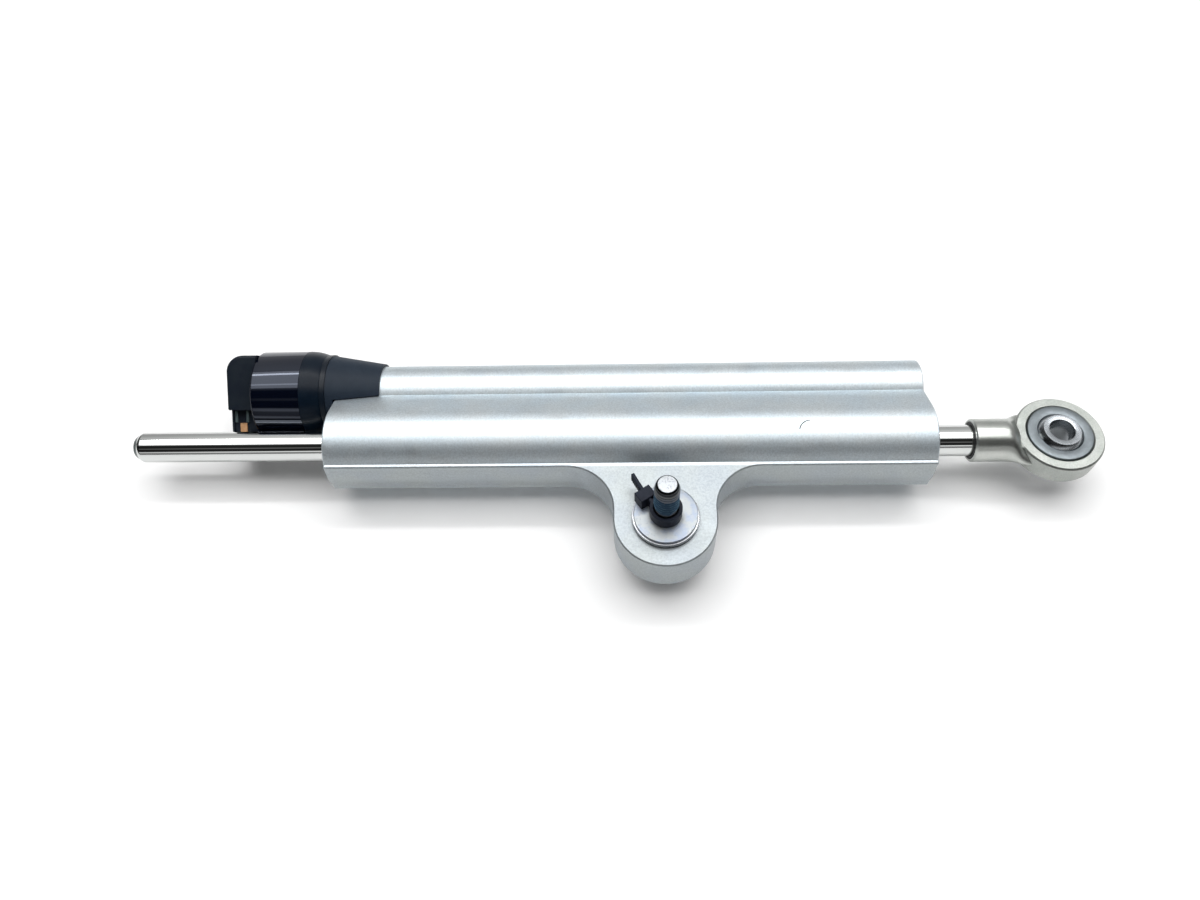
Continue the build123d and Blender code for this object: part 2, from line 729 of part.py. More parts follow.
# Valve sleeve with a ring of ports and an O-ring groove on each side of them
sleeve_outer = valve_bore - seat_gap
with BuildPart() as valve_sleeve:
    revolve(ring_section(tube_plane, sleeve_left, sleeve_right, spring_hole, sleeve_outer), axis=tube_axis)
    revolve(
        ring_section(tube_plane, sleeve_left - overrun, sleeve_right - sleeve_seat, 0, sleeve_bore),
        axis=tube_axis,
        mode=Mode.SUBTRACT,
    )
    port_left = left_port_x - groove_half
    port_right = left_port_x + groove_half
    revolve(ring_section(tube_plane, port_left, port_right, groove_radius, valve_bore), axis=tube_axis, mode=Mode.SUBTRACT)
    for ring_x in (left_port_x - valve_ring_at, left_port_x + valve_ring_at):
        ring_reach = ring_wire + seat_gap
        revolve(
            ring_section(tube_plane, ring_x - ring_reach, ring_x + ring_reach, groove_low, valve_bore),
            axis=tube_axis,
            mode=Mode.SUBTRACT,
        )
    with BuildSketch(Plane.XY.offset(-valve_bore)):
        with Locations((left_port_x, tube_y)):
            Circle(link_radius)
    extrude(amount=2 * valve_bore, mode=Mode.SUBTRACT)
valve_sleeve.part.label = "valve_sleeve"
export_step(valve_sleeve.part, "parts/valve_sleeve.step")

with BuildPart() as sleeve_o_rings:
    for ring_x in (left_port_x - valve_ring_at, left_port_x + valve_ring_at):
        revolve(cord_section(tube_plane, ring_x, valve_bore, ring_wire), axis=tube_axis)
sleeve_o_rings.part.label = "sleeve_o_rings"
export_step(sleeve_o_rings.part, "parts/sleeve_o_rings.step")

# Needle: a push pin from the armature, two lands and a waist between them at the ports
needle_right = sleeve_right - sleeve_seat - needle_end_gap
needle_radius = sleeve_bore - running_gap
waist_right = needle_right - land_length
waist_left = 2 * left_port_x - waist_right
with BuildPart() as valve_needle:
    revolve(
        section(
            tube_plane,
            (armature_right, 0), (armature_right, push_radius), (waist_left - 2 * land_length, push_radius),
            (waist_left - 2 * land_length, needle_radius), (waist_left, needle_radius), (waist_left, waist_radius),
            (waist_right, waist_radius), (waist_right, needle_radius), (needle_right, needle_radius), (needle_right, 0),
        ),
        axis=tube_axis,
    )
valve_needle.part.label = "valve_needle"
export_step(valve_needle.part, "parts/valve_needle.step")

with BuildPart() as armature:
    revolve(ring_section(tube_plane, armature_left, armature_right, 0, armature_radius), axis=tube_axis)
    chamfer(armature.edges().filter_by(GeomType.CIRCLE), length=edge_break)
armature.part.label = "armature"
export_step(armature.part, "parts/armature.step")

# Spring between the needle's end and the sleeve's seat
with BuildPart() as needle_spring:
    spring_left = needle_right + spring_wire + seat_gap
    spring_height = needle_end_gap - 2 * spring_wire - 2 * seat_gap
    with BuildLine() as coil:
        Helix(
            pitch=spring_height / 3,
            height=spring_height,
            radius=sleeve_bore - 2 * spring_wire,
            center=(spring_left, tube_y, 0),
            direction=(1, 0, 0),
        )
    with BuildSketch(Plane(origin=coil.line @ 0, z_dir=coil.line % 0)):
        Circle(spring_wire)
    sweep(path=coil.line)
needle_spring.part.label = "needle_spring"
export_step(needle_spring.part, "parts/needle_spring.step")

# Coil on its bobbin round the armature tube
bobbin_left = armature_tube_left + seat_gap
bobbin_right = can_right + bobbin_flange
bobbin_hole = armature_tube_radius + seat_gap
with BuildPart() as coil_bobbin:
    barrel = bobbin_hole + bobbin_wall
    revolve(
        section(
            tube_plane,
            (bobbin_left, bobbin_hole), (bobbin_left, bobbin_radius), (bobbin_left + bobbin_flange, bobbin_radius),
            (bobbin_left + bobbin_flange, barrel), (bobbin_right - bobbin_flange, barrel),
            (bobbin_right - bobbin_flange, bobbin_radius), (bobbin_right, bobbin_radius), (bobbin_right, bobbin_hole),
        ),
        axis=tube_axis,
    )
coil_bobbin.part.label = "coil_bobbin"
export_step(coil_bobbin.part, "parts/coil_bobbin.step")

with BuildPart() as coil_winding:
    winding_left = bobbin_left + bobbin_flange + seat_gap
    winding_right = bobbin_right - bobbin_flange - seat_gap
    revolve(ring_section(tube_plane, winding_left, winding_right, barrel + seat_gap, coil_radius), axis=tube_axis)
coil_winding.part.label = "coil_winding"
export_step(coil_winding.part, "parts/coil_winding.step")

# Can, open at both ends, round the coil
can_inner = can_radius - can_wall
with BuildPart() as solenoid_can:
    revolve(ring_section(tube_plane, can_left, can_right, can_inner, can_radius), axis=tube_axis)
    chamfer(solenoid_can.edges().filter_by(GeomType.CIRCLE).group_by(SortBy.RADIUS)[-1], length=seat_gap * 5)
solenoid_can.part.label = "solenoid_can"
export_step(solenoid_can.part, "parts/solenoid_can.step")

# Matt collar between the can and the boot, seated round the valve plug's flange
skirt_right = body_left - face_gap
with BuildPart() as can_collar:
    with BuildSketch(tube_plane):
        with BuildLine():
            Polyline(
                (collar_right, collar_end_radius), (collar_right, skirt_radius), (skirt_right, skirt_radius),
                (skirt_right, plug_flange_radius + seat_gap), (plug_flange_x, plug_flange_radius + seat_gap),
                (plug_flange_x, bobbin_hole), (bobbin_right + seat_gap, bobbin_hole), (bobbin_right + seat_gap, can_inner),
                (can_right, can_inner), (can_right, can_radius),
            )
            TangentArc((can_right, can_radius), (collar_right, collar_end_radius), tangent=(1, 0))
        make_face()
    revolve(axis=tube_axis)
can_collar.part.label = "can_collar"
export_step(can_collar.part, "parts/can_collar.step")

# Boot: a cone over the tube, cut away where the barrel and its web run past it
boot_left = collar_right + seat_gap
boot_right = body_left + boot_end
with BuildPart() as valve_boot:
    revolve(
        section(
            tube_plane,
            (boot_left, skirt_radius + seat_gap), (boot_left, boot_lip_radius), (boot_left + boot_lip, boot_lip_radius),
            (boot_left + boot_lip, boot_lip_radius - edge_break), (boot_right, boot_end_radius),
            (boot_right, tube_radius + seat_gap), (body_left, tube_radius + seat_gap), (body_left, skirt_radius + seat_gap),
        ),
        axis=tube_axis,
    )
    extrude(barrel_section(Plane.YZ.offset(body_left - face_gap), face_gap), amount=body_length, mode=Mode.SUBTRACT)
valve_boot.part.label = "valve_boot"
export_step(valve_boot.part, "parts/valve_boot.step")

# Connector housing on the can's left end. In its plane X runs along the rod and Y away from
# the mouth, so the mouth is at minus the tower's reach.
turn = radians(connector_angle)
connector_plane = Plane(origin=(0, tube_y, 0), x_dir=(1, 0, 0), z_dir=(0, -sin(turn), cos(turn)))
block_left = can_left - block_length
block_x = (block_left + can_left) / 2
tower_y = -(block_step + tower_reach) / 2
tower_length = tower_reach - block_step
mouth_plane = Plane(
    origin=connector_plane.from_local_coords((block_x, -tower_reach, 0)),
    x_dir=(1, 0, 0),
    z_dir=connector_plane.y_dir,
)
tab_x = block_left + tab_from_left
with BuildPart() as connector_housing:
    with BuildSketch(connector_plane) as block:
        with Locations((block_x, (block_top - block_step) / 2)):
            Rectangle(block_length, block_top + block_step)
        fillet(block.vertices().group_by(Axis.X)[0].sort_by(Axis.Y)[-1], radius=block_corner)
    extrude(amount=block_half, both=True)
    fillet(connector_housing.faces().group_by(Axis.X)[0].edges().filter_by(GeomType.LINE), radius=block_edge)
    with BuildSketch(mouth_plane):
        RectangleRounded(block_length, 2 * tower_half, tower_edge)
    extrude(amount=tower_length + block_edge)
    # guide rails beside the locking tab
    with BuildSketch(connector_plane.offset(tower_half)):
        with Locations((block_left + rail_width, tower_y), (can_left - rail_width, tower_y)):
            Rectangle(rail_width, tower_length)
    extrude(amount=rail_height)
    # disc that closes the can
    revolve(ring_section(tube_plane, can_left, can_left + spigot_length, 0, can_inner - seat_gap), axis=tube_axis)
    # socket, pin holes and the tab's slot
    with BuildSketch(mouth_plane):
        Rectangle(block_length - 2 * socket_wall, 2 * tower_half - 2 * socket_wall)
    extrude(amount=socket_depth, mode=Mode.SUBTRACT)
    with BuildSketch(mouth_plane):
        with Locations((-pin_spacing / 2, 0), (pin_spacing / 2, 0)):
            Circle(pin_radius + seat_gap)
    extrude(amount=tower_reach - pin_start + seat_gap, mode=Mode.SUBTRACT)
    with BuildSketch(connector_plane.offset(tower_half - tab_thickness + tab_proud - seat_gap)):
        with Locations((tab_x, -tab_start - tab_length / 2)):
            Rectangle(tab_width + 2 * seat_gap, tab_length + 2 * seat_gap)
    extrude(amount=tab_thickness, mode=Mode.SUBTRACT)
connector_housing.part.label = "connector_housing"
export_step(connector_housing.part, "parts/connector_housing.step")

with BuildPart() as connector_tab:
    with BuildSketch(connector_plane.offset(tower_half - tab_thickness + tab_proud)):
        with Locations((tab_x, -tab_start - tab_length / 2)):
            Rectangle(tab_width, tab_length)
    extrude(amount=tab_thickness)
connector_tab.part.label = "connector_tab"
export_step(connector_tab.part, "parts/connector_tab.step")

# The connector's two pins
with BuildPart() as connector_pins:
    with BuildSketch(mouth_plane.offset(tower_reach - pin_end)):
        with Locations((-pin_spacing / 2, 0), (pin_spacing / 2, 0)):
            Circle(pin_radius)
    extrude(amount=pin_end - pin_start)
connector_pins.part.label = "connector_pins"
export_step(connector_pins.part, "parts/connector_pins.step")

# Reservoir plug with a hexagon socket, its O-ring, and the sprung compensator piston
cap_right = body_right - plug_inset
cap_left = cap_right - plug_length
cap_outer = reservoir_bore - seat_gap
cap_ring_x = cap_left + 2 * ring_wire
cap_floor = cap_outer - 2 * ring_wire - seat_gap
ring_reach = ring_wire + seat_gap
with BuildPart() as reservoir_plug:
    revolve(ring_section(tube_plane, cap_left, cap_right, 0, cap_outer), axis=tube_axis)
    revolve(
        ring_section(tube_plane, cap_ring_x - ring_reach, cap_ring_x + ring_reach, cap_floor, reservoir_bore),
        axis=tube_axis,
        mode=Mode.SUBTRACT,
    )
    with BuildSketch(Plane.YZ.offset(cap_right - plug_socket_depth)):
        with Locations((tube_y, 0)):
            RegularPolygon(plug_socket, 6, major_radius=False)
    extrude(amount=plug_socket_depth, mode=Mode.SUBTRACT)
reservoir_plug.part.label = "reservoir_plug"
export_step(reservoir_plug.part, "parts/reservoir_plug.step")

with BuildPart() as reservoir_o_ring:
    revolve(cord_section(tube_plane, cap_ring_x, reservoir_bore, ring_wire), axis=tube_axis)
reservoir_o_ring.part.label = "reservoir_o_ring"
export_step(reservoir_o_ring.part, "parts/reservoir_o_ring.step")

float_left = reservoir_end + piston_gap
float_right = float_left + piston_thick
float_x = (float_left + float_right) / 2
float_outer = reservoir_bore - running_gap
float_bore = reservoir_bore - running_gap
with BuildPart() as compensator_piston:
    revolve(ring_section(tube_plane, float_left, float_right, 0, float_outer), axis=tube_axis)
    revolve(
        ring_section(
            tube_plane, float_x - ring_reach, float_x + ring_reach, float_bore - 2 * ring_wire - 2 * seat_gap, reservoir_bore
        ),
        axis=tube_axis,
        mode=Mode.SUBTRACT,
    )
compensator_piston.part.label = "compensator_piston"
export_step(compensator_piston.part, "parts/compensator_piston.step")

with BuildPart() as compensator_o_ring:
    revolve(cord_section(tube_plane, float_x, float_bore, ring_wire), axis=tube_axis)
compensator_o_ring.part.label = "compensator_o_ring"
export_step(compensator_o_ring.part, "parts/compensator_o_ring.step")

with BuildPart() as compensator_spring:
    spring_left = float_right + compensator_wire + seat_gap
    spring_height = cap_left - float_right - 2 * compensator_wire - 2 * seat_gap
    with BuildLine() as coil:
        Helix(
            pitch=spring_height / 3,
            height=spring_height,
            radius=reservoir_bore - 3 * compensator_wire,
            center=(spring_left, tube_y, 0),
            direction=(1, 0, 0),
        )
    with BuildSketch(Plane(origin=coil.line @ 0, z_dir=coil.line % 0)):
        Circle(compensator_wire)
    sweep(path=coil.line)
compensator_spring.part.label = "compensator_spring"
export_step(compensator_spring.part, "parts/compensator_spring.step")
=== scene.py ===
import json
import math
import bpy
import bmesh
from mathutils import Matrix, Vector

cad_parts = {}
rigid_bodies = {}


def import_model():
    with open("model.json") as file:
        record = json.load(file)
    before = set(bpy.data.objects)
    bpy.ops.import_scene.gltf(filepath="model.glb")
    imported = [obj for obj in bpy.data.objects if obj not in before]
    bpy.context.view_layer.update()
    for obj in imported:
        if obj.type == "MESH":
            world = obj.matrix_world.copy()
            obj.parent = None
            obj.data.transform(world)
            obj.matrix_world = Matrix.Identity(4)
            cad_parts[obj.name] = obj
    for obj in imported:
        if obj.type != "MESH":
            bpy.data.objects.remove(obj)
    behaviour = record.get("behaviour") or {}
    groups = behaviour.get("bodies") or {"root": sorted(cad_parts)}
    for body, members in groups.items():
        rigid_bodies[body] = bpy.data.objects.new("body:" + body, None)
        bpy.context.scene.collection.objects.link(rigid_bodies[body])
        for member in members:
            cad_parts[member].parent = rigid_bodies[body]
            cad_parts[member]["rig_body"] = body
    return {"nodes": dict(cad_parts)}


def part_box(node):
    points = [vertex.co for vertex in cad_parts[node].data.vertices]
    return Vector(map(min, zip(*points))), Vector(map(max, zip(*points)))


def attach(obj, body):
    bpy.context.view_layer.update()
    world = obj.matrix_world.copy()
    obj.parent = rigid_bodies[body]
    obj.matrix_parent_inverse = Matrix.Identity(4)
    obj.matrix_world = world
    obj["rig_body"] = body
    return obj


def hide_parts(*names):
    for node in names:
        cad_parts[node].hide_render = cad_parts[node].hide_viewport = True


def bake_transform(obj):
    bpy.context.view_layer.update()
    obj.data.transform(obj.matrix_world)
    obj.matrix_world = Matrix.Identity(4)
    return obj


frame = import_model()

mm = 0.001      # sizes below are in millimetres, and meshes in metres
nodes = frame["nodes"]
scene = bpy.context.scene
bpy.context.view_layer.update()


def span(node):     # a CAD node's lowest and highest corners, in millimetres
    return [[value / mm for value in corner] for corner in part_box(node)]


def middle(node):       # its middle, in millimetres
    low, high = span(node)
    return [(a + b) / 2 for a, b in zip(low, high)]


def half(node):     # half its size along X, Y and Z
    low, high = span(node)
    return [(b - a) / 2 for a, b in zip(low, high)]


eyeCentre = middle("rod_end_race")
lugCentre = middle("lug_race")
tubeCentre = [0, middle("solenoid_can")[1], 0]
print("frame loaded:", len(nodes), "nodes")


# Nodes, for materials and for geometry

class Wire:     # one output socket: sums and products on it add Math nodes
    def __init__(self, kit, socket):
        self.kit = kit
        self.socket = socket

    def math(self, operation, *values):
        return self.kit.add("ShaderNodeMath", {"operation": operation}, dict(enumerate(values)))

    def __add__(self, other):
        return self.math("ADD", self, other)

    __radd__ = __add__

    def __sub__(self, other):
        return self.math("SUBTRACT", self, other)

    def __rsub__(self, other):
        return self.math("SUBTRACT", other, self)

    def __mul__(self, other):
        return self.math("MULTIPLY", self, other)

    __rmul__ = __mul__

    def __truediv__(self, other):
        return self.math("DIVIDE", self, other)

    def __pow__(self, other):
        return self.math("POWER", self, other)

    def atMost(self, other):
        return self.math("MINIMUM", self, other)

    def atLeast(self, other):
        return self.math("MAXIMUM", self, other)

    def above(self, other):
        return self.math("GREATER_THAN", self, other)

    def size(self):
        return self.math("ABSOLUTE", self)


class Kit:      # adds nodes to one tree
    def __init__(self, tree):
        self.tree = tree

    def add(self, kind, settings=None, values=None, out=0):
        node = self.tree.nodes.new(kind)
        for key, value in (settings or {}).items():
            if key == "stops":
                for place, colour in value[1:-1]:
                    node.color_ramp.elements.new(place)
                for stop, (place, colour) in zip(node.color_ramp.elements, value):
                    stop.position = place
                    stop.color = tuple(colour) + (1.0,)
            else:
                setattr(node, key, value)
        for key, value in (values or {}).items():
            if isinstance(value, Wire):
                self.tree.links.new(value.socket, node.inputs[key])
            else:
                node.inputs[key].default_value = value
        return node if out is None else Wire(self, node.outputs[out])


class Finish(Kit):      # a material that reads Object coordinates
    def __init__(self, name):
        self.material = bpy.data.materials.new(name)
        self.material.use_nodes = True
        super().__init__(self.material.node_tree)
        self.tree.nodes.clear()
        self.place = self.add("ShaderNodeTexCoord", out="Object")

    def along(self, letter, start=0.0):     # one coordinate from a start, in millimetres
        return self.add("ShaderNodeSeparateXYZ", None, {0: self.place}, out=letter) / mm - start

    def reach(self, first, second, centre):     # distance from an axis, in millimetres
        across, rise = self.along(first, centre[0]), self.along(second, centre[1])
        return (across * across + rise * rise) ** 0.5

    def noise(self, spot, detail=2.0, rough=0.5, stretch=(1, 1, 1)):    # spot size in millimetres
        vector = self.add("ShaderNodeMapping", None, {"Vector": self.place, "Scale": stretch})
        return self.add("ShaderNodeTexNoise", None,
                        {"Vector": vector, "Scale": 1 / (spot * mm), "Detail": detail, "Roughness": rough})

    def specks(self, spot):     # distance from scattered points
        return self.add("ShaderNodeTexVoronoi", None, {"Vector": self.place, "Scale": 1 / (spot * mm)})

    def grade(self, value, low, high, least=0.0, most=1.0):     # a smooth step from least to most
        return self.add("ShaderNodeMapRange", {"interpolation_type": "SMOOTHSTEP"},
                        {0: value, 1: low, 2: high, 3: least, 4: most})

    def band(self, value, low, high, soft):     # 1 between low and high
        return self.grade(value, low - soft, low + soft) * self.grade(value, high - soft, high + soft, 1.0, 0.0)

    def blend(self, factor, first, second):     # colours
        def four(colour):
            return colour if isinstance(colour, Wire) else tuple(colour) + (1.0,)
        return self.add("ShaderNodeMix", {"data_type": "RGBA"}, {0: factor, 6: four(first), 7: four(second)}, out=2)

    def shades(self, value, colour, spread):        # the colour, darker and lighter by a share as the value varies
        return self.blend(self.grade(value, 0.28, 0.72), [c * (1 - spread) for c in colour],
                          [c * (1 + spread) for c in colour])

    def bump(self, height, distance, under=None):       # distance in millimetres
        values = {"Height": height, "Distance": distance * mm}
        if under:
            values["Normal"] = under
        return self.add("ShaderNodeBump", None, values)

    def surface(self, **sockets):       # the shader and the output
        names = {"colour": "Base Color", "roughness": "Roughness", "metallic": "Metallic", "normal": "Normal",
                 "specular": "Specular IOR Level", "tint": "Specular Tint"}
        values = {}
        for key, value in sockets.items():
            values[names[key]] = tuple(value) + (1.0,) if isinstance(value, (tuple, list)) else value
        shader = self.add("ShaderNodeBsdfPrincipled", None, values)
        self.add("ShaderNodeOutputMaterial", None, {"Surface": shader}, out=None)
        return self.material


# Meshes

def roundedLoop(corners, steps=4):      # a closed outline: corners are (along, out) or (along, out, rounding)
    loop = []
    for index, corner in enumerate(corners):
        here = Vector(corner[:2])
        radius = corner[2] if len(corner) > 2 else 0.0
        before = Vector(corners[index - 1][:2]) - here
        after = Vector(corners[(index + 1) % len(corners)][:2]) - here
        halfAngle = before.angle(after) / 2
        if radius <= 0 or math.pi / 2 - halfAngle < 0.002:     # a sharp corner, or no corner at all
            loop.append(here)
            continue
        reach = min(radius / math.tan(halfAngle), 0.49 * before.length, 0.49 * after.length)
        radius = reach * math.tan(halfAngle)
        centre = here + (before.normalized() + after.normalized()).normalized() * (radius / math.sin(halfAngle))
        start = here + before.normalized() * reach - centre
        end = here + after.normalized() * reach - centre
        turn = start.angle_signed(end)
        for step in range(steps + 1):
            angle = -turn * step / steps
            loop.append(centre + Vector((start.x * math.cos(angle) - start.y * math.sin(angle),
                                         start.x * math.sin(angle) + start.y * math.cos(angle))))
    return loop


def meshObject(name, build, sharpAngle=35):     # smooth, but sharp above this angle
    mesh = bpy.data.meshes.new(name)
    build.to_mesh(mesh)
    build.free()
    mesh.shade_smooth()
    mesh.set_sharp_from_angle(angle=math.radians(sharpAngle))
    piece = bpy.data.objects.new(name, mesh)
    scene.collection.objects.link(piece)
    return piece


def lathe(name, corners, centre=(0, 0, 0), axis="X", around=128, steps=4):      # a closed section turned once round
    loop = roundedLoop(corners, steps)
    build = bmesh.new()
    rings = []
    for turn in range(around):
        angle = 2 * math.pi * turn / around
        ring = []
        for along, out in loop:
            side, rise = out * math.cos(angle), out * math.sin(angle)
            place = (along, side, rise) if axis == "X" else (side, rise, along)
            ring.append(build.verts.new([(c + p) * mm for c, p in zip(centre, place)]))
        rings.append(ring)
    for turn in range(around):
        first, second = rings[turn], rings[(turn + 1) % around]
        for index in range(len(loop)):
            onward = (index + 1) % len(loop)
            if loop[index].y > 1e-6 or loop[onward].y > 1e-6:
                build.faces.new((first[index], first[onward], second[onward], second[index]))
    bmesh.ops.remove_doubles(build, verts=build.verts, dist=1e-7)
    bmesh.ops.recalc_face_normals(build, faces=build.faces)
    return meshObject(name, build)


def copyNode(node, name, edge, segments=3, angle=28):       # a CAD node's mesh, merged, with its edges rounded
    build = bmesh.new()
    build.from_mesh(nodes[node].data)
    bmesh.ops.remove_doubles(build, verts=build.verts, dist=2e-6)
    bmesh.ops.dissolve_limit(build, angle_limit=math.radians(0.6), verts=build.verts, edges=build.edges)
    piece = meshObject(name, build, angle - 4)
    tool = piece.modifiers.new("edges", "BEVEL")
    tool.width = edge * mm
    tool.segments = segments
    tool.limit_method = "ANGLE"
    tool.angle_limit = math.radians(angle)
    tool.use_clamp_overlap = True
    tool.harden_normals = True
    return piece


def join(name, *pieces):        # one piece made of several
    build = bmesh.new()
    for piece in pieces:
        build.from_mesh(piece.data)
        bpy.data.objects.remove(piece)
    return meshObject(name, build)


class Tree(Kit):        # a Geometry Nodes tree with named inputs: whole numbers, or sizes in millimetres
    def __init__(self, name, inputs):
        super().__init__(bpy.data.node_groups.new(name, "GeometryNodeTree"))
        self.tree.interface.new_socket("Geometry", in_out="OUTPUT", socket_type="NodeSocketGeometry")
        self.keys = {}
        for label, value in inputs.items():
            kind = "NodeSocketInt" if isinstance(value, int) else "NodeSocketFloat"
            socket = self.tree.interface.new_socket(label, in_out="INPUT", socket_type=kind)
            self.keys[label] = (socket.identifier, value if isinstance(value, int) else value * mm)
        self.entry = self.tree.nodes.new("NodeGroupInput")

    def given(self, *labels):       # one input, or three as a vector
        wires = [Wire(self, self.entry.outputs[label]) for label in labels]
        return wires[0] if len(wires) == 1 else self.add("ShaderNodeCombineXYZ", None, dict(enumerate(wires)))

    def piece(self, geometry, material, sharpAngle=35):     # the tree's result as a plain mesh
        real = self.add("GeometryNodeRealizeInstances", None, {0: geometry})
        done = self.add("GeometryNodeSetMaterial", None, {"Geometry": real, "Material": material})
        self.add("NodeGroupOutput", None, {0: done}, out=None)
        maker = bpy.data.objects.new(self.tree.name, bpy.data.meshes.new(self.tree.name))
        scene.collection.objects.link(maker)
        tool = maker.modifiers.new("nodes", "NODES")
        tool.node_group = self.tree
        for identifier, value in self.keys.values():
            tool[identifier] = value
        graph = bpy.context.evaluated_depsgraph_get()
        mesh = bpy.data.meshes.new_from_object(maker.evaluated_get(graph), depsgraph=graph)
        maker.modifiers.clear()
        maker.data = mesh
        mesh.shade_smooth()
        mesh.set_sharp_from_angle(angle=math.radians(sharpAngle))
        return maker


def stand(piece, node, finish=None):      # the piece takes a CAD node's place, body and finish
    piece.data.materials.clear()
    piece.data.materials.append(finishes[finish or slots[node]])
    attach(piece, nodes[node]["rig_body"])
    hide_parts(node)


print("helpers ready")


# Finishes. Each plain metal or plastic: two colours that drift into each other over a spot of this size, a
# grain of this size with this depth, and a roughness that varies by spread

metals = {
    "bearing_steel": {"colour": (0.35, 0.37, 0.39), "other": (0.31, 0.33, 0.35), "roughness": 0.20, "depth": 0.0005},
    "race_steel": {"colour": (0.175, 0.195, 0.21), "other": (0.155, 0.175, 0.185), "roughness": 0.36, "spot": 1.5},
    "spacer_steel": {"colour": (0.33, 0.34, 0.35), "other": (0.27, 0.28, 0.30), "roughness": 0.28},
    "seal_head_alloy": {"colour": (0.56, 0.58, 0.59), "other": (0.50, 0.52, 0.54), "roughness": 0.30, "depth": 0.003},
    "bush_bronze": {"colour": (0.60, 0.42, 0.22), "other": (0.52, 0.36, 0.19), "roughness": 0.34, "depth": 0.004},
    "spring_steel": {"colour": (0.26, 0.26, 0.28), "other": (0.20, 0.20, 0.22), "roughness": 0.34, "depth": 0.003},
    "valve_steel": {"colour": (0.55, 0.56, 0.57), "other": (0.49, 0.50, 0.52), "roughness": 0.24},
    "winding_wire": {"colour": (0.60, 0.24, 0.10), "other": (0.48, 0.18, 0.07), "roughness": 0.28, "spot": 1.0,
                     "grain": 0.25, "depth": 0.03, "stretch": (6, 1, 1)},
    "pin_brass": {"colour": (0.72, 0.58, 0.30), "other": (0.66, 0.52, 0.26), "roughness": 0.20, "spot": 0.8},
}
plastics = {
    "seal_rubber": {"colour": (0.016, 0.016, 0.017), "other": (0.022, 0.022, 0.023), "roughness": 0.52},
    "stop_rubber": {"colour": (0.030, 0.028, 0.026), "other": (0.040, 0.037, 0.034), "roughness": 0.60},
    "band_plastic": {"colour": (0.045, 0.075, 0.060), "other": (0.060, 0.090, 0.072), "roughness": 0.45},
    "matt_collar": {"colour": (0.0016, 0.0060, 0.0135), "other": (0.0028, 0.0080, 0.0160), "roughness": 0.33,
                    "specular": 0.15, "spot": 3.0, "grain": 0.16, "depth": 0.006},
    "connector_plastic": {"colour": (0.0048, 0.0090, 0.0170), "other": (0.0080, 0.0130, 0.0200), "roughness": 0.46,
                          "specular": 0.20, "spread": 0.08, "spot": 3.0, "grain": 0.20, "depth": 0.010},
    # the ribs' lighter colour is a painted highlight on them
    "rib_plastic": {"colour": (0.065, 0.100, 0.104), "other": (0.080, 0.115, 0.120), "roughness": 0.46},
    "tab_plastic": {"colour": (0.50, 0.27, 0.13), "other": (0.57, 0.32, 0.16), "roughness": 0.40, "spot": 1.0},
    "tie_plastic": {"colour": (0.0100, 0.0130, 0.0230), "other": (0.0150, 0.0190, 0.0310), "roughness": 0.50,
                    "specular": 0.14, "spot": 1.5, "grain": 0.15},
}
finishes = {}
slots = {}


def metalFinish(name, colour, other, roughness, mottle=0.03, spread=0.08, spot=2.0, grain=0.12, depth=0.002,
                stretch=(1, 1, 1)):
    kit = Finish(name)
    cloud = kit.noise(spot, 3, 0.55)
    fine = kit.noise(grain, 2, 0.6, stretch)
    first, second = kit.shades(fine, colour, mottle), kit.shades(fine, other, mottle)
    finishes[name] = kit.surface(
        colour=kit.blend(kit.grade(cloud, 0.35, 0.65), first, second),
        roughness=roughness + (fine - 0.5) * spread + (cloud - 0.5) * spread,
        metallic=1.0, normal=kit.bump(fine, depth))


def plasticFinish(name, colour, other, roughness, specular=0.5, spread=0.06, spot=2.5, grain=0.18, depth=0.006):
    kit = Finish(name)
    cloud = kit.noise(spot, 3, 0.55)
    fine = kit.noise(grain, 2, 0.6)
    finishes[name] = kit.surface(
        colour=kit.blend(kit.grade(cloud, 0.35, 0.65), colour, other),
        roughness=roughness + (fine - 0.5) * spread, specular=specular, normal=kit.bump(fine, depth))


bodyLook = {
    "blasted": (0.565, 0.632, 0.675), "warm": (0.585, 0.632, 0.655), "roughness": 0.48,     # barrel and tube
    "flatsPaintedShade": (0.372, 0.406, 0.430), "flatsPaintedShadeOther": (0.39, 0.420, 0.426), "milledRoughness": 0.52,      # rail, lug: a darker colour as painted shade, and rougher
    "milledFrom": 9.97,         # the milled faces lie this far in front of the rod
    "grain": 0.42, "mottle": 0.12, "cloud": 8.0, "fine": 0.15, "fineDepth": 0.006, "fineSpread": 0.10,
    "lines": 0.35, "lineStretch": 0.02, "lineDepth": 0.002, "lineSpread": 0.06,
    "smudge": 5.0, "smudgeDepth": 0.06, "scuff": 0.5, "scuffDepth": 0.12, "wornColour": (0.12, 0.13, 0.14),
    "scratchCentre": (-63.25, -3.41), "scratchRadius": 3.03, "scratchWidth": 0.15,      # an arc on the barrel's top
    "scratchFront": (0.35, 2.75), "scratchEnd": -63.4, "scratchAbove": 5.0, "scratchColour": (0.012, 0.012, 0.014),
}


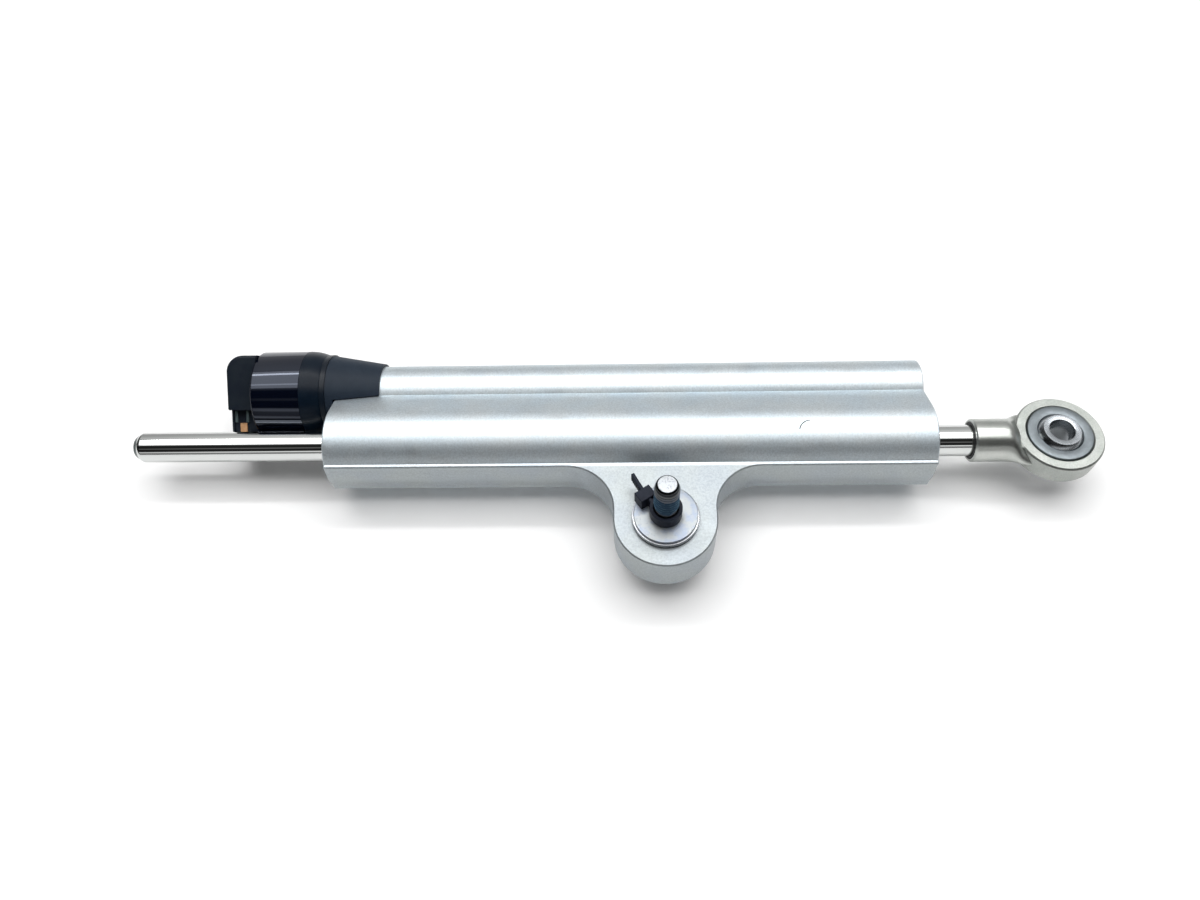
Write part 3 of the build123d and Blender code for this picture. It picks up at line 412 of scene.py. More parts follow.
def bodyFinish(look):       # clear anodised alloy: blasted grain, faint lines along it, smudges, scuffs, a scratch, and painted shade on the rail's and lug's flats
    kit = Finish("anodised_body")
    front = kit.along("Y") * -1.0
    cloud = kit.noise(look["cloud"], 3, 0.5)
    grain = kit.noise(look["grain"], 3, 0.7)
    fine = kit.noise(look["fine"], 2, 0.6)
    lines = kit.noise(look["lines"], 3, 0.6, (look["lineStretch"], 1, 1))
    drift = kit.grade(cloud, 0.3, 0.7)
    barrel = kit.blend(drift, kit.shades(grain, look["blasted"], look["mottle"]),
                       kit.shades(grain, look["warm"], look["mottle"]))
    # the rail's and lug's flats get a darker copy of the alloy's colour: painted shade
    flatsPaintedShade = kit.blend(drift, kit.shades(grain, look["flatsPaintedShade"], look["mottle"]),
                       kit.shades(grain, look["flatsPaintedShadeOther"], look["mottle"]))
    flatsShadeAndRoughness = kit.grade(front, look["milledFrom"] - 0.02, look["milledFrom"] + 0.02)
    smudge = kit.grade(kit.noise(look["smudge"], 4, 0.6, (0.5, 1, 1)), 0.50, 0.72) * look["smudgeDepth"]
    arc = (kit.reach("X", "Y", look["scratchCentre"]) - look["scratchRadius"]).size()
    scratch = kit.grade(arc, look["scratchWidth"] * 0.4, look["scratchWidth"] * 1.4, 1.0, 0.0)
    near, far = look["scratchFront"]
    scratch = scratch * kit.along("Z").above(look["scratchAbove"]) * front.above(near)
    scratch = scratch * (far - front).above(0.0) * (look["scratchEnd"] - kit.along("X")).above(0.0)
    scuffs = kit.grade(kit.noise(look["scuff"], 3, 0.7, (0.10, 1, 1)), 0.68, 0.76) * kit.grade(cloud, 0.5, 0.62)
    worn = (smudge + scuffs * look["scuffDepth"]).atMost(1.0)
    base = kit.blend(worn, kit.blend(flatsShadeAndRoughness, barrel, flatsPaintedShade), look["wornColour"])
    roughness = look["roughness"] + flatsShadeAndRoughness * (look["milledRoughness"] - look["roughness"])
    roughness = roughness + (fine - 0.5) * look["fineSpread"] + (lines - 0.5) * look["lineSpread"] - smudge
    finishes["anodised_body"] = kit.surface(
        colour=kit.blend(scratch, base, look["scratchColour"]), roughness=roughness, metallic=1.0,
        normal=kit.bump(fine, look["fineDepth"], kit.bump(lines, look["lineDepth"])))


rodLook = {"chrome": (0.66, 0.67, 0.66), "other": (0.62, 0.64, 0.63), "cloud": 5.0, "roughness": 0.055,
           "spread": 0.04, "ring": 0.10, "ringStretch": 0.03, "ringDepth": 0.0004,
           "chamfer": (0.035, 0.050, 0.050), "chamferEnd": 1.35, "chamferSoft": 0.2, "dull": 0.14}


def rodFinish(look):        # polished hard chrome with fine rings round it, and on its free end a rougher chamfer with a painted dark reflection
    kit = Finish("polished_rod")
    end = span("piston_rod")[0][0] + look["chamferEnd"]
    # the chamfer's near-black colour is a painted dark reflection; the chamfer is also rougher
    chamferPaintedDarkAndDull = kit.grade(kit.along("X"), end - look["chamferSoft"], end + look["chamferSoft"], 1.0, 0.0)
    rings = kit.noise(look["ring"], 2, 0.6, (1, look["ringStretch"], look["ringStretch"]))
    cloud = kit.noise(look["cloud"], 2, 0.5)
    finishes["polished_rod"] = kit.surface(
        colour=kit.blend(chamferPaintedDarkAndDull, kit.blend(cloud, look["chrome"], look["other"]), look["chamfer"]),
        roughness=look["roughness"] + (rings - 0.5) * look["spread"] + chamferPaintedDarkAndDull * look["dull"], metallic=1.0,
        normal=kit.bump(rings, look["ringDepth"]))


# the eye's colours are darker than the neck's as painted shade
eyeLook = {"neck": (0.46, 0.48, 0.455), "neckOther": (0.50, 0.515, 0.49), "eye": (0.335, 0.355, 0.335),
           "eyeOther": (0.375, 0.39, 0.37), "eyeReach": (10.9, 12.6), "cloud": 4.0, "grain": 0.36,
           "grainDepth": 0.010, "mottle": 0.13, "neckMottle": 0.04, "roughness": 0.31, "eyeRoughness": 0.40,
           "spread": 0.08}


def rodEndFinish(look):     # plated forging: a smooth neck, and a rougher eye with a coarser grain, its darker colour painted shade
    kit = Finish("rod_end_steel")
    cloud = kit.grade(kit.noise(look["cloud"], 3, 0.55), 0.35, 0.65)
    grain = kit.noise(look["grain"], 3, 0.7)
    head = kit.grade(kit.reach("X", "Y", eyeCentre), look["eyeReach"][0], look["eyeReach"][1], 1.0, 0.0)
    neck = kit.blend(cloud, kit.shades(grain, look["neck"], look["neckMottle"]),
                     kit.shades(grain, look["neckOther"], look["neckMottle"]))
    eye = kit.blend(cloud, kit.shades(grain, look["eye"], look["mottle"]),
                    kit.shades(grain, look["eyeOther"], look["mottle"]))
    roughness = look["roughness"] + head * (look["eyeRoughness"] - look["roughness"]) + (grain - 0.5) * look["spread"]
    finishes["rod_end_steel"] = kit.surface(
        colour=kit.blend(head, neck, eye), roughness=roughness, metallic=1.0,
        normal=kit.bump(grain, look["grainDepth"]))


bootLook = {"colour": (0.0085, 0.0165, 0.0290), "other": (0.0115, 0.0205, 0.0340), "cloud": 4.0, "roughness": 0.56,
            "specular": 0.22, "spread": 0.06, "grain": 0.22, "grainDepth": 0.008,
            "lip": (0.0026, 0.0070, 0.0135), "lipEnd": -187.2, "lipRoughness": 0.34}


def bootFinish(look):       # matt boot, with a smooth lip that continues the collar
    kit = Finish("boot_plastic")
    cloud = kit.grade(kit.noise(look["cloud"], 3, 0.55), 0.35, 0.65)
    grain = kit.noise(look["grain"], 2, 0.6)
    lip = kit.grade(kit.along("X"), look["lipEnd"] - 0.05, look["lipEnd"] + 0.05, 1.0, 0.0)
    roughness = look["roughness"] + lip * (look["lipRoughness"] - look["roughness"]) + (grain - 0.5) * look["spread"]
    finishes["boot_plastic"] = kit.surface(
        colour=kit.blend(lip, kit.blend(cloud, look["colour"], look["other"]), look["lip"]),
        specular=look["specular"], roughness=roughness, normal=kit.bump(grain, look["grainDepth"]))


zincLook = {"stops": [(0.25, (0.305, 0.330, 0.352)), (0.45, (0.332, 0.350, 0.358)), (0.6, (0.272, 0.310, 0.380)),
                      (0.8, (0.336, 0.342, 0.318))],
            "cloud": 3.5, "roughness": 0.44, "spread": 0.14, "grain": 0.16, "grainDepth": 0.003,
            "marks": 0.9, "marksDepth": 0.16, "markColour": (0.05, 0.05, 0.055)}
boltLook = {     # the tip's chipped face, a painted dark reflection on its rim, painted shade in the thread's roots, and the threadlock's patch
    "tip": 21.4, "tipColour": (0.40, 0.42, 0.44), "chip": 0.55, "chipDepth": 0.5, "chipColour": (0.10, 0.10, 0.11),
    "rim": (2.22, 2.66), "rimFrom": 20.85, "rimPaintedReflection": (0.008, 0.009, 0.010), "rimDepth": 0.95,
    "root": (2.58, 2.88), "rootPaintedShade": (0.035, 0.040, 0.046), "rootDepth": 0.9,
    "patch": (11.4, 17.3), "ragged": 1.8, "raggedSpot": 1.1, "patchColour": (0.010, 0.050, 0.105),
    "patchRoughness": 0.12, "patchMetal": 0.85, "crest": (2.84, 2.96), "crestColour": (0.085, 0.165, 0.215),
    "wear": 0.8,
}


def zincFinish(name, look, bolt=None):      # bright zinc plate with a faint rainbow; on the bolt, threadlock, painted shade in the thread's roots and a painted dark reflection on the tip's rim
    kit = Finish(name)
    cloud = kit.noise(look["cloud"], 3, 0.6)
    grain = kit.noise(look["grain"], 2, 0.6)
    marks = kit.grade(kit.noise(look["marks"], 4, 0.7), 0.56, 0.66) * look["marksDepth"]
    plate = kit.add("ShaderNodeValToRGB", {"stops": look["stops"]}, {0: cloud})
    colour = kit.blend(marks, plate, look["markColour"])
    metallic, roughness = 1.0, look["roughness"] + (grain - 0.5) * look["spread"]
    if bolt:
        height, out = kit.along("Z"), kit.reach("X", "Y", lugCentre)
        tip = height.above(bolt["tip"] - 0.05)
        chips = kit.grade(kit.noise(bolt["chip"], 4, 0.75), 0.52, 0.60) * bolt["chipDepth"]
        colour = kit.blend(tip, colour, kit.blend(chips, bolt["tipColour"], bolt["chipColour"]))
        # painted shade: the thread's roots darker, below the tip
        rootShade = kit.grade(out, *bolt["root"], bolt["rootDepth"], 0.0) * (1.0 - tip)
        colour = kit.blend(rootShade, colour, bolt["rootPaintedShade"])
        # painted dark reflection on the tip's chamfered rim
        rim = kit.band(out, *bolt["rim"], 0.05) * height.above(bolt["rimFrom"])
        colour = kit.blend(rim * bolt["rimDepth"], colour, bolt["rimPaintedReflection"])
        torn = height + (kit.noise(bolt["raggedSpot"], 3, 0.65) - 0.5) * bolt["ragged"]
        covered = kit.band(torn, *bolt["patch"], 0.2)
        worn = kit.grade(out, *bolt["crest"]) * kit.grade(kit.noise(bolt["wear"], 3, 0.6), 0.35, 0.6)
        colour = kit.blend(covered, colour, kit.blend(worn, bolt["patchColour"], bolt["crestColour"]))
        metallic = 1.0 - covered * bolt["patchMetal"]
        roughness = roughness + covered * bolt["patchRoughness"]
    finishes[name] = kit.surface(
        colour=colour, roughness=roughness, metallic=metallic, normal=kit.bump(grain, look["grainDepth"]))


canLook = {"paint": (0.0010, 0.0020, 0.0065), "dust": (0.03, 0.03, 0.035), "roughness": 0.06, "specular": 0.62,
           "tint": (0.74, 0.82, 1.0), "peel": 1.1, "peelDepth": 0.0010, "dustSpacing": 0.9, "dustSize": (0.02, 0.06),
           "dustRoughness": 0.3}


def canFinish(look):        # gloss black paint with a faint orange peel and dust
    kit = Finish("gloss_can")
    peel = kit.noise(look["peel"], 2, 0.5)
    speck = kit.grade(kit.specks(look["dustSpacing"]), *look["dustSize"], 1.0, 0.0)
    finishes["gloss_can"] = kit.surface(
        colour=kit.blend(speck, look["paint"], look["dust"]), specular=look["specular"], tint=look["tint"],
        roughness=look["roughness"] + speck * look["dustRoughness"], normal=kit.bump(peel, look["peelDepth"]))


for name, look in metals.items():
    metalFinish(name, **look)
for name, look in plastics.items():
    plasticFinish(name, **look)
bodyFinish(bodyLook)
rodFinish(rodLook)
rodEndFinish(eyeLook)
bootFinish(bootLook)
canFinish(canLook)
zincFinish("zinc_steel", zincLook)
zincFinish("bolt_zinc", zincLook, boltLook)
for name, node in nodes.items():
    slots[name] = node.material_slots[0].material.name
    node.material_slots[0].material = finishes[slots[name]]
print("finishes:", len(finishes))


# Rod and rod end

rodSizes = {"tip": 2.7, "taper": 2.0, "tipRounding": 0.9, "taperRounding": 1.5,
            "grooves": ((-137.84, -136.82), (-120.82, -119.80)), "grooveRadius": 3.4,
            "shoulder": -19.4, "shoulderEdge": 0.15, "studRadius": 2.98, "studEdge": 0.4}


def makeRod(s):
    low, high = span("piston_rod")
    tail, end, radius = low[0], high[0], high[2]
    corners = [(tail, 0), (tail, s["tip"], s["tipRounding"]), (tail + s["taper"], radius, s["taperRounding"])]
    for left, right in s["grooves"]:        # for the piston's clips
        corners += [(left, radius), (left, s["grooveRadius"]), (right, s["grooveRadius"]), (right, radius)]
    corners += [(s["shoulder"], radius, s["shoulderEdge"]), (s["shoulder"], s["studRadius"]),
                (end, s["studRadius"], s["studEdge"]), (end, 0)]
    stand(lathe("pistonRod", corners, steps=6), "piston_rod")


bearingSizes = {"hollow": 6.39, "throatEdge": 0.15, "raceEdge": 0.25, "bore": 3.0, "boreEdge": 0.25}


def sphereArc(radius, turns):       # an outline's points on a sphere, by their turn from its equator in degrees
    return [(radius * math.sin(a), radius * math.cos(a)) for a in map(math.radians, turns)]


def makeBearing(s, prefix, raceNode, ballNode):     # race and ball of one spherical bearing
    centre = middle(raceNode)
    outer, top = half(raceNode)[1:]
    throat = math.sqrt(s["hollow"] ** 2 - top ** 2)
    race = [(top, throat, s["throatEdge"]), (top, outer, s["raceEdge"]), (-top, outer, s["raceEdge"]),
            (-top, throat, s["throatEdge"])] + sphereArc(s["hollow"], range(-28, 29, 4))
    stand(lathe(prefix + "Race", race, centre, "Z"), raceNode, "race_steel")
    radius, top = half(ballNode)[1:]
    flat = math.sqrt(radius ** 2 - top ** 2)
    rim = math.degrees(math.asin(top / radius))
    ball = [(top, s["bore"], s["boreEdge"]), (top, flat)]
    ball += sphereArc(radius, [rim - step * rim / 12 for step in range(1, 24)])
    ball += [(-top, flat), (-top, s["bore"], s["boreEdge"])]
    stand(lathe(prefix + "Ball", ball, centre, "Z"), ballNode)


mouthSizes = {"left": -21.6, "right": -19.42, "inner": 4.02, "outer": 4.78, "innerEdge": 0.15, "outerEdge": 0.3,
              "hiddenEdge": 0.1}


def makeMouthRing(s):
    ring = [(s["left"], s["inner"], s["innerEdge"]), (s["left"], s["outer"], s["outerEdge"]),
            (s["right"], s["outer"], s["hiddenEdge"]), (s["right"], s["inner"], s["hiddenEdge"])]
    stand(lathe("mouthRing", ring), "mouth_ring")


makeRod(rodSizes)
makeBearing(bearingSizes, "eye", "rod_end_race", "rod_end_ball")
makeBearing(bearingSizes, "lug", "lug_race", "lug_ball")
stand(copyNode("rod_end_housing", "rodEnd", edge=0.18), "rod_end_housing")
makeMouthRing(mouthSizes)
print("rod, rod end and bearings")


# Bolt, washer, spacers and cable tie on the lug

boltSizes = {"core": 2.5, "pitch": 1.0, "ridge": 0.48, "threadEnd": 0.85, "threadFrom": 11.55, "fade": 14.0,
             "shank": 2.96, "relief": 2.7, "reliefFrom": 6.8, "slope": 0.1, "runOut": 0.3,
             "tipFrom": 0.9, "chamferFrom": 0.42, "chamferRadius": 2.58, "tipRadius": 2.15, "tipEdge": 0.12,
             "flange": 6.6, "flangeRim": 0.65, "across": 10.0, "seat": -6.8, "seatEdge": 0.3, "rimEdge": 0.25,
             "hexTop": -8.1, "hexChamfer": (0.45, 0.75), "dish": (4.0, 3.6, 0.4),       # the dish under the head
             "edge": 0.2, "fineEdge": 0.1, "sunk": 0.2, "headSunk": 0.1}        # how far pieces reach into each other


def threadPiece(s, tip):        # a diamond section swept along a helix, faded at both ends
    length = tip - s["threadEnd"] - s["threadFrom"]
    tree = Tree("boltThread", {"Radius": s["core"], "Length": length, "Depth": s["ridge"],
                               "Centre X": lugCentre[0], "Centre Y": lugCentre[1], "Low": s["threadFrom"]})
    helix = tree.add("GeometryNodeCurveSpiral", None, {
        "Resolution": 64, "Rotations": length / s["pitch"], "Start Radius": tree.given("Radius"),
        "End Radius": tree.given("Radius"), "Height": tree.given("Length")})
    upright = tree.add("GeometryNodeSetCurveNormal", {"mode": "Z_UP"}, {"Curve": helix})
    run = tree.add("GeometryNodeSplineParameter")
    fade = (run * s["fade"]).atMost((1.0 - run) * s["fade"]).atMost(1.0).atLeast(0.02)
    section = tree.add("GeometryNodeCurvePrimitiveCircle", {"mode": "RADIUS"},
                       {"Resolution": 4, "Radius": tree.given("Depth")})
    ridge = tree.add("GeometryNodeCurveToMesh", None,
                     {"Curve": upright, "Profile Curve": section, "Scale": fade, "Fill Caps": True})
    placed = tree.add("GeometryNodeTransform", None,
                      {"Geometry": ridge, "Translation": tree.given("Centre X", "Centre Y", "Low")})
    return tree.piece(placed, finishes["bolt_zinc"])


def makeBolt(s):
    low, high = span("frame_bolt")[0][2], span("frame_bolt")[1][2]
    edge, fine, slope, under = s["edge"], s["fineEdge"], s["slope"], s["seat"] - s["sunk"]
    skirt = s["hexTop"] - 0.001     # just below the hex head's top
    flange = [(s["seat"], 0), (s["seat"], s["across"] / 2, s["seatEdge"]),
              (s["hexTop"] + s["flangeRim"], s["flange"], s["rimEdge"]), (skirt, s["flange"], edge), (skirt, 0)]
    shank = [(under, 0), (under, s["shank"]), (s["reliefFrom"] - slope, s["shank"], edge),
             (s["reliefFrom"] + slope, s["relief"], edge), (s["threadFrom"] - s["runOut"], s["relief"], s["runOut"]),
             (s["threadFrom"], s["core"]), (high - s["tipFrom"], s["core"]),
             (high - s["chamferFrom"], s["chamferRadius"], fine), (high, s["tipRadius"], s["tipEdge"]), (high, 0)]
    corner = s["across"] / 2 / math.cos(math.pi / 6)
    rise, inset = s["hexChamfer"]
    outer, inner, depth = s["dish"]
    top = s["hexTop"] + s["headSunk"]
    head = [(top, 0), (top, corner), (low + rise, corner, edge), (low, corner - inset, edge),
            (low, outer, fine), (low + depth, inner, fine), (low + depth, 0)]
    bolt = join("frameBolt", lathe("flange", flange, lugCentre, "Z"), lathe("shank", shank, lugCentre, "Z"),
                lathe("hexHead", head, lugCentre, "Z", around=6), threadPiece(s, high))
    stand(bolt, "frame_bolt", "bolt_zinc")


stackSizes = {"bore": 3.04, "boreEdge": 0.15, "hub": 4.4, "hubEdge": 0.1, "hubFillet": 0.25, "flangeThickness": 1.0,
              "flangeEdge": 0.12, "washerBore": 3.02, "washerBoreEdge": (0.1, 0.12), "washerEdge": (0.12, 0.2)}


def makeStack(s):
    for name, node, up in (("upperSpacer", "upper_spacer", 1), ("lowerSpacer", "lower_spacer", -1)):
        low, high = span(node)
        inner, outer = (low[2], high[2]) if up > 0 else (high[2], low[2])
        flange, rim = outer - up * s["flangeThickness"], half(node)[0]
        section = [(inner, s["bore"]), (inner, s["hub"], s["hubEdge"]), (flange, s["hub"], s["hubFillet"]),
                   (flange, rim, s["flangeEdge"]), (outer, rim, s["flangeEdge"]), (outer, s["bore"], s["boreEdge"])]
        stand(lathe(name, section, lugCentre, "Z"), node)
    low, high = span("bolt_washer")
    rim, boreEdge, rimEdge = half("bolt_washer")[0], s["washerBoreEdge"], s["washerEdge"]
    washer = [(low[2], s["washerBore"], boreEdge[0]), (low[2], rim, rimEdge[0]), (high[2], rim, rimEdge[1]),
              (high[2], s["washerBore"], boreEdge[1])]
    stand(lathe("boltWasher", washer, lugCentre, "Z"), "bolt_washer")


tieSizes = {"edge": 0.16, "angle": 118.0, "start": (-104.19, -21.05), "rise": 1.6, "side": 0.42, "skip": 1.9,
            "teeth": 7, "pitch": 0.68, "toothLength": 0.34, "toothProud": 0.16, "toothHeight": 1.9}


def makeTie(s):     # the tie, and the teeth along its tail
    stand(copyNode("cable_tie", "cableTie", s["edge"]), "cable_tie")
    tree = Tree("tieTeeth", {"Count": s["teeth"], "Pitch": s["pitch"], "Length": s["toothLength"],
                             "Proud": 2 * s["toothProud"], "Height": s["toothHeight"]})
    run = tree.add("GeometryNodeMeshLine", {"mode": "OFFSET"}, {
        "Count": tree.given("Count"), "Offset": tree.add("ShaderNodeCombineXYZ", None, {0: tree.given("Pitch")})})
    tooth = tree.add("GeometryNodeMeshCube", None, {"Size": tree.given("Length", "Proud", "Height")})
    teeth = tree.add("GeometryNodeInstanceOnPoints", None, {"Points": run, "Instance": tooth})
    angle = math.radians(s["angle"])
    way = Vector((math.cos(angle), math.sin(angle)))
    start = Vector(s["start"]) + way * s["skip"] + Vector((-way.y, way.x)) * s["side"]
    place = [value * mm for value in (start.x, start.y, span("cable_tie")[0][2] + s["rise"])]
    placed = tree.add("GeometryNodeTransform", None,
                      {"Geometry": teeth, "Translation": place, "Rotation": (0, 0, angle)})
    piece = tree.piece(placed, finishes["tie_plastic"])
    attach(piece, nodes["cable_tie"]["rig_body"])


makeBolt(boltSizes)
makeStack(stackSizes)
makeTie(tieSizes)
print("lug stack")


# Solenoid: can, collar, boot and connector

canSizes = {"inner": 10.9, "leftEdge": 1.2, "rightEdge": 0.08, "seam": 0.1, "collarRadius": 10.6, "collarEnd": -188.6,
            "collarEdge": 0.3, "collarSteps": 8, "skirt": 9.0, "skirtEdge": 0.1, "mouth": 7.32, "step": -187.92,
            "pocket": 5.44, "pocketEnd": -192.68}


def makeCan(s):
    low, high = span("solenoid_can")
    left, right, radius = low[0], high[0], high[2]
    can = [(left, s["inner"]), (left, radius, s["leftEdge"]), (right, radius, s["rightEdge"]), (right, s["inner"])]
    stand(lathe("solenoidCan", can, tubeCentre, steps=6), "solenoid_can")
    run, drop = s["collarEnd"] - right, radius - s["collarRadius"]
    arc = (run ** 2 + drop ** 2) / 2 / drop
    collar = [(right, s["inner"]), (right, radius - s["seam"]), (right + s["seam"], radius)]
    for step in range(1, s["collarSteps"]):
        along = run * step / s["collarSteps"]
        collar.append((right + along, radius - arc + math.sqrt(arc ** 2 - along ** 2)))
    end = span("can_collar")[1][0]
    collar += [(s["collarEnd"], s["collarRadius"], s["collarEdge"]), (s["collarEnd"], s["skirt"]),
               (end, s["skirt"], s["skirtEdge"]), (end, s["mouth"]), (s["step"], s["mouth"]),
               (s["step"], s["pocket"]), (s["pocketEnd"], s["pocket"]), (s["pocketEnd"], s["inner"])]
    stand(lathe("canCollar", collar, tubeCentre), "can_collar")


connectorSizes = {"edge": 0.2, "tabEdge": 0.12, "ribs": 2, "firstRib": -212.95, "ribPitch": 3.0, "ribWidth": 0.8,
                  "ribLength": 3.3, "ribHeight": 0.9, "ribEdge": 0.2, "ribAlong": -5.35, "face": 5.0, "angle": 37.0}


def makeConnector(s):       # the housing, its locking tab, and the ribs above the tab
    stand(copyNode("connector_housing", "connectorHousing", s["edge"]), "connector_housing")
    stand(copyNode("connector_tab", "connectorTab", s["tabEdge"]), "connector_tab")
    tree = Tree("connectorRibs", {"Count": s["ribs"], "Pitch": s["ribPitch"], "Width": s["ribWidth"],
                                  "Length": s["ribLength"], "Height": s["ribHeight"]})
    run = tree.add("GeometryNodeMeshLine", {"mode": "OFFSET"}, {
        "Count": tree.given("Count"), "Offset": tree.add("ShaderNodeCombineXYZ", None, {0: tree.given("Pitch")})})
    rib = tree.add("GeometryNodeMeshCube", None, {"Size": tree.given("Width", "Length", "Height")})
    ribs = tree.add("GeometryNodeInstanceOnPoints", None, {"Points": run, "Instance": rib})
    turn = math.radians(s["angle"])
    start = (s["firstRib"], tubeCentre[1] + s["ribAlong"] * math.cos(turn) - s["face"] * math.sin(turn),
             s["ribAlong"] * math.sin(turn) + s["face"] * math.cos(turn))
    placed = tree.add("GeometryNodeTransform", None, {
        "Geometry": ribs, "Translation": [value * mm for value in start], "Rotation": (turn, 0, 0)})
    # the ribs take the lighter rib colour, a painted highlight
    piece = tree.piece(placed, finishes["rib_plastic"])
    tool = piece.modifiers.new("edges", "BEVEL")
    tool.width = s["ribEdge"] * mm
    tool.segments = 2
    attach(piece, nodes["connector_housing"]["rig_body"])


makeCan(canSizes)
stand(copyNode("valve_boot", "valveBoot", edge=0.15), "valve_boot")
makeConnector(connectorSizes)
print("solenoid")


# Body, and the small parts that show at its ends

rounded = {     # each piece's name, and how far its edges are rounded
    "damper_body": ("damperBody", 0.16), "left_seal_head": ("leftSealHead", 0.15),
    "right_seal_head": ("rightSealHead", 0.15), "reservoir_plug": ("reservoirPlug", 0.15),
    "left_retaining_ring": ("leftRing", 0.1), "right_retaining_ring": ("rightRing", 0.1),
    "lug_retaining_rings": ("lugRings", 0.1), "connector_pins": ("connectorPins", 0.1),
}
for node, (name, edge) in rounded.items():
    stand(copyNode(node, name, edge, segments=2), node)
print("body and small parts")


# Springs: each one is a plain copy of its CAD node's mesh and finish, standing in its place

springs = {"needle_spring": {"name": "needleSpring", "moving": "valve_needle"},
           "compensator_spring": {"name": "compensatorSpring", "moving": "compensator"}}


def makeSpring(s, node):
    build = bmesh.new()
    build.from_mesh(nodes[node].data)
    coil = meshObject(s["name"], build, sharpAngle=60)
    coil.data.materials.clear()
    coil.data.materials.append(finishes[slots[node]])
    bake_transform(coil)
    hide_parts(node)


for node, s in springs.items():
    makeSpring(s, node)
print("springs")


# Studio

cameraPlace = {"position": (-106.9, -122.8, 191.5), "pitch": 57.752, "yaw": 2.205, "roll": -0.484, "focal": 26.4,
               "sensor": 36.0}
floorLook = {"height": -12.8, "size": 4.0, "paper": (0.92, 0.92, 0.92), "other": (0.94, 0.94, 0.94), "cloud": 60,
             "glow": 0.05}
lamps = {       # centre, height and sides in metres, and radiance
    "softbox": {"x": -0.085, "y": 0.125, "z": 0.80, "length": 1.37, "width": 0.69, "radiance": 1.95},
    "backStrip": {"x": -0.085, "y": 0.325, "z": 0.79, "length": 1.37, "width": 0.070, "radiance": 9.0},
    "frontStrip": {"x": -0.085, "y": -0.080, "z": 0.79, "length": 1.37, "width": 0.05, "radiance": 2.4},
}
roomLook = {        # grey of the room by lean in degrees: 0 is straight up, and positive leans to the front
    "greys": [(-180, 0.66), (-66, 0.54), (-52, 0.66), (-42, 0.80), (-34, 0.90), (-30, 0.60), (16, 0.60), (23, 0.02),
              (42, 0.02), (44, 0.20), (48, 0.20), (50, 0.02), (68, 0.02), (71, 1.0), (76, 1.0), (79, 0.3), (96, 0.2),
              (112, 0.7), (180, 0.66)],
    "peak": 1.5, "backdrop": 0.98,
    "left": (0.45, 0.75, 0.12), "right": (0.45, 0.85, 0.50),        # where the room's ends fade, and to what share
}


def makeCamera(s):      # at the photograph's viewing angle
    pitch, yaw, roll = [math.radians(s[key]) for key in ("pitch", "yaw", "roll")]
    right, forward = Vector((1, 0, 0)), Vector((0, math.cos(pitch), -math.sin(pitch)))
    right, forward = right * math.cos(yaw) + forward * math.sin(yaw), forward * math.cos(yaw) - right * math.sin(yaw)
    up = right.cross(forward)
    right, up = right * math.cos(roll) + up * math.sin(roll), up * math.cos(roll) - right * math.sin(roll)
    data = bpy.data.cameras.new("camera")
    data.sensor_width = s["sensor"]
    data.lens = s["focal"]
    data.clip_start = 0.01
    camera = bpy.data.objects.new("camera", data)
    turned = Matrix((right, up, -forward)).transposed().to_4x4()
    camera.matrix_world = Matrix.Translation(Vector(s["position"]) * mm) @ turned
    scene.collection.objects.link(camera)
    scene.camera = camera


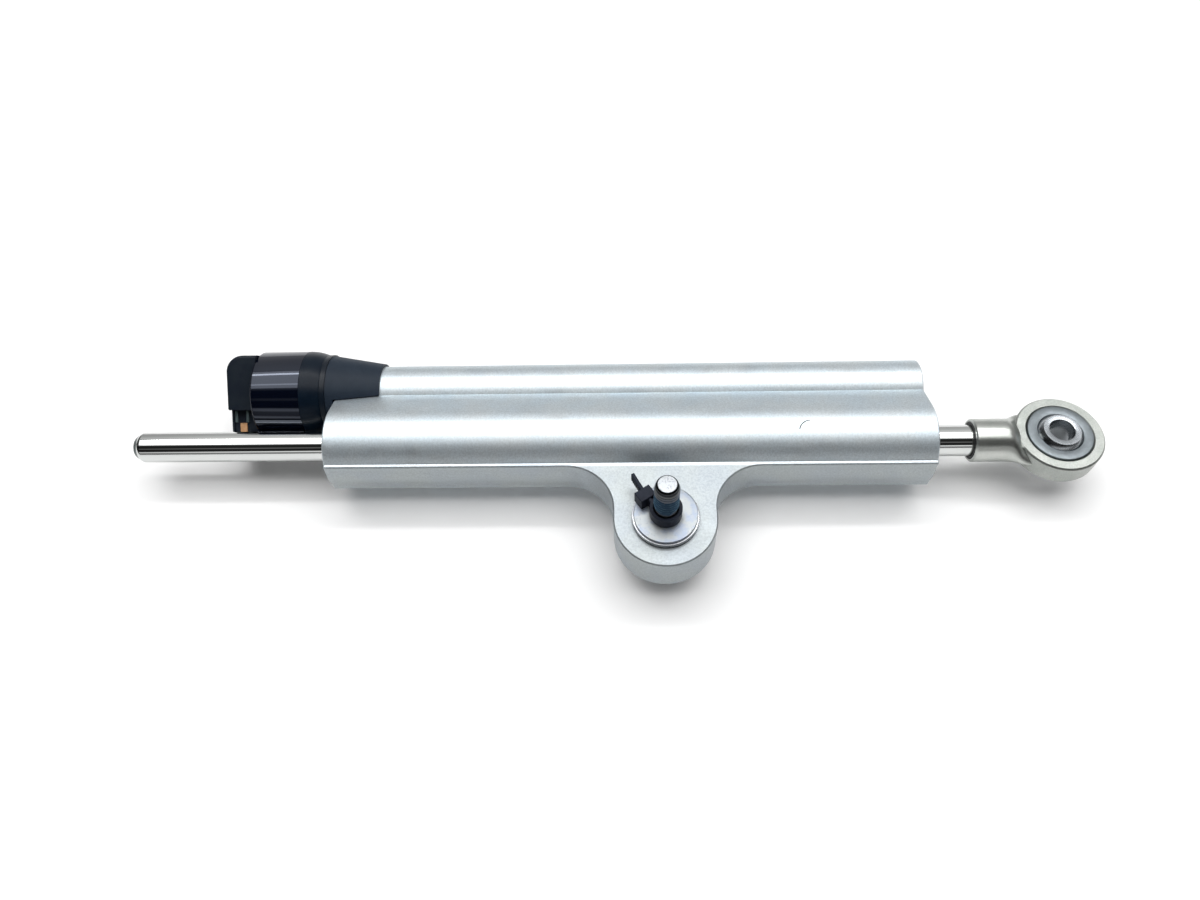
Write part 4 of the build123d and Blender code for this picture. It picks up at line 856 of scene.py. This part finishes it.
def makeFloor(s):       # plain paper, with a faint glow of its own in what sees it
    build = bmesh.new()
    bmesh.ops.create_grid(build, x_segments=2, y_segments=2, size=s["size"])
    bmesh.ops.translate(build, verts=build.verts, vec=(0, 0, s["height"] * mm))
    floor = meshObject("studioFloor", build)
    kit = Finish("studio_floor")
    seen, glossy, through = [kit.add("ShaderNodeLightPath", out=name)
                             for name in ("Is Camera Ray", "Is Glossy Ray", "Is Transmission Ray")]
    seen = (seen + glossy + through).atMost(1.0)
    colour = kit.blend(kit.noise(s["cloud"]), s["paper"], s["other"])
    diffuse = kit.add("ShaderNodeBsdfDiffuse", None, {"Color": colour})
    glow = kit.add("ShaderNodeEmission", None, {"Color": (1, 1, 1, 1), "Strength": seen * s["glow"]})
    both = kit.add("ShaderNodeAddShader", None, {0: diffuse, 1: glow})
    kit.add("ShaderNodeOutputMaterial", None, {"Surface": both}, out=None)
    floor.data.materials.append(kit.material)


def makeLamp(name, s):      # a rectangle that shines straight down
    data = bpy.data.lights.new(name, "AREA")
    data.shape = "RECTANGLE"
    data.size, data.size_y = s["length"], s["width"]
    data.energy = s["radiance"] * math.pi * s["length"] * s["width"]
    lamp = bpy.data.objects.new(name, data)
    lamp.location = (s["x"], s["y"], s["z"])
    scene.collection.objects.link(lamp)


def makeWorld(s):       # a room in greys, by how far a direction leans from straight up towards the front
    world = bpy.data.worlds.new("studio")
    world.use_nodes = True
    kit = Kit(world.node_tree)
    kit.tree.nodes.clear()
    way = kit.add("ShaderNodeTexCoord", out="Generated")
    side, front, rise = [kit.add("ShaderNodeSeparateXYZ", None, {0: way}, out=letter) for letter in "XYZ"]
    lean = kit.add("ShaderNodeMath", {"operation": "ARCTAN2"}, {0: front * -1.0, 1: rise}) / math.pi / 2 + 0.5
    stops = [(0.5 + angle / 360, (grey / s["peak"],) * 3) for angle, grey in s["greys"]]
    room = kit.add("ShaderNodeValToRGB", {"stops": stops}, {0: lean})
    ends = s["peak"]
    for wire, (start, end, least) in ((side * -1.0, s["left"]), (side, s["right"])):    # darker past both ends
        ends = kit.add("ShaderNodeMapRange", None, {0: wire, 1: start, 2: end, 3: 1.0, 4: least}) * ends
    path = kit.add("ShaderNodeLightPath", out="Is Camera Ray")
    white = kit.add("ShaderNodeBackground", None, {"Color": (s["backdrop"],) * 3 + (1,), "Strength": 1.0})
    lit = kit.add("ShaderNodeBackground", None, {"Color": room, "Strength": ends})
    mixed = kit.add("ShaderNodeMixShader", None, {0: path, 1: lit, 2: white})
    kit.add("ShaderNodeOutputWorld", None, {"Surface": mixed}, out=None)
    scene.world = world


makeCamera(cameraPlace)
makeFloor(floorLook)
for name, sizes in lamps.items():
    makeLamp(name, sizes)
makeWorld(roomLook)
scene.view_settings.view_transform = "Standard"
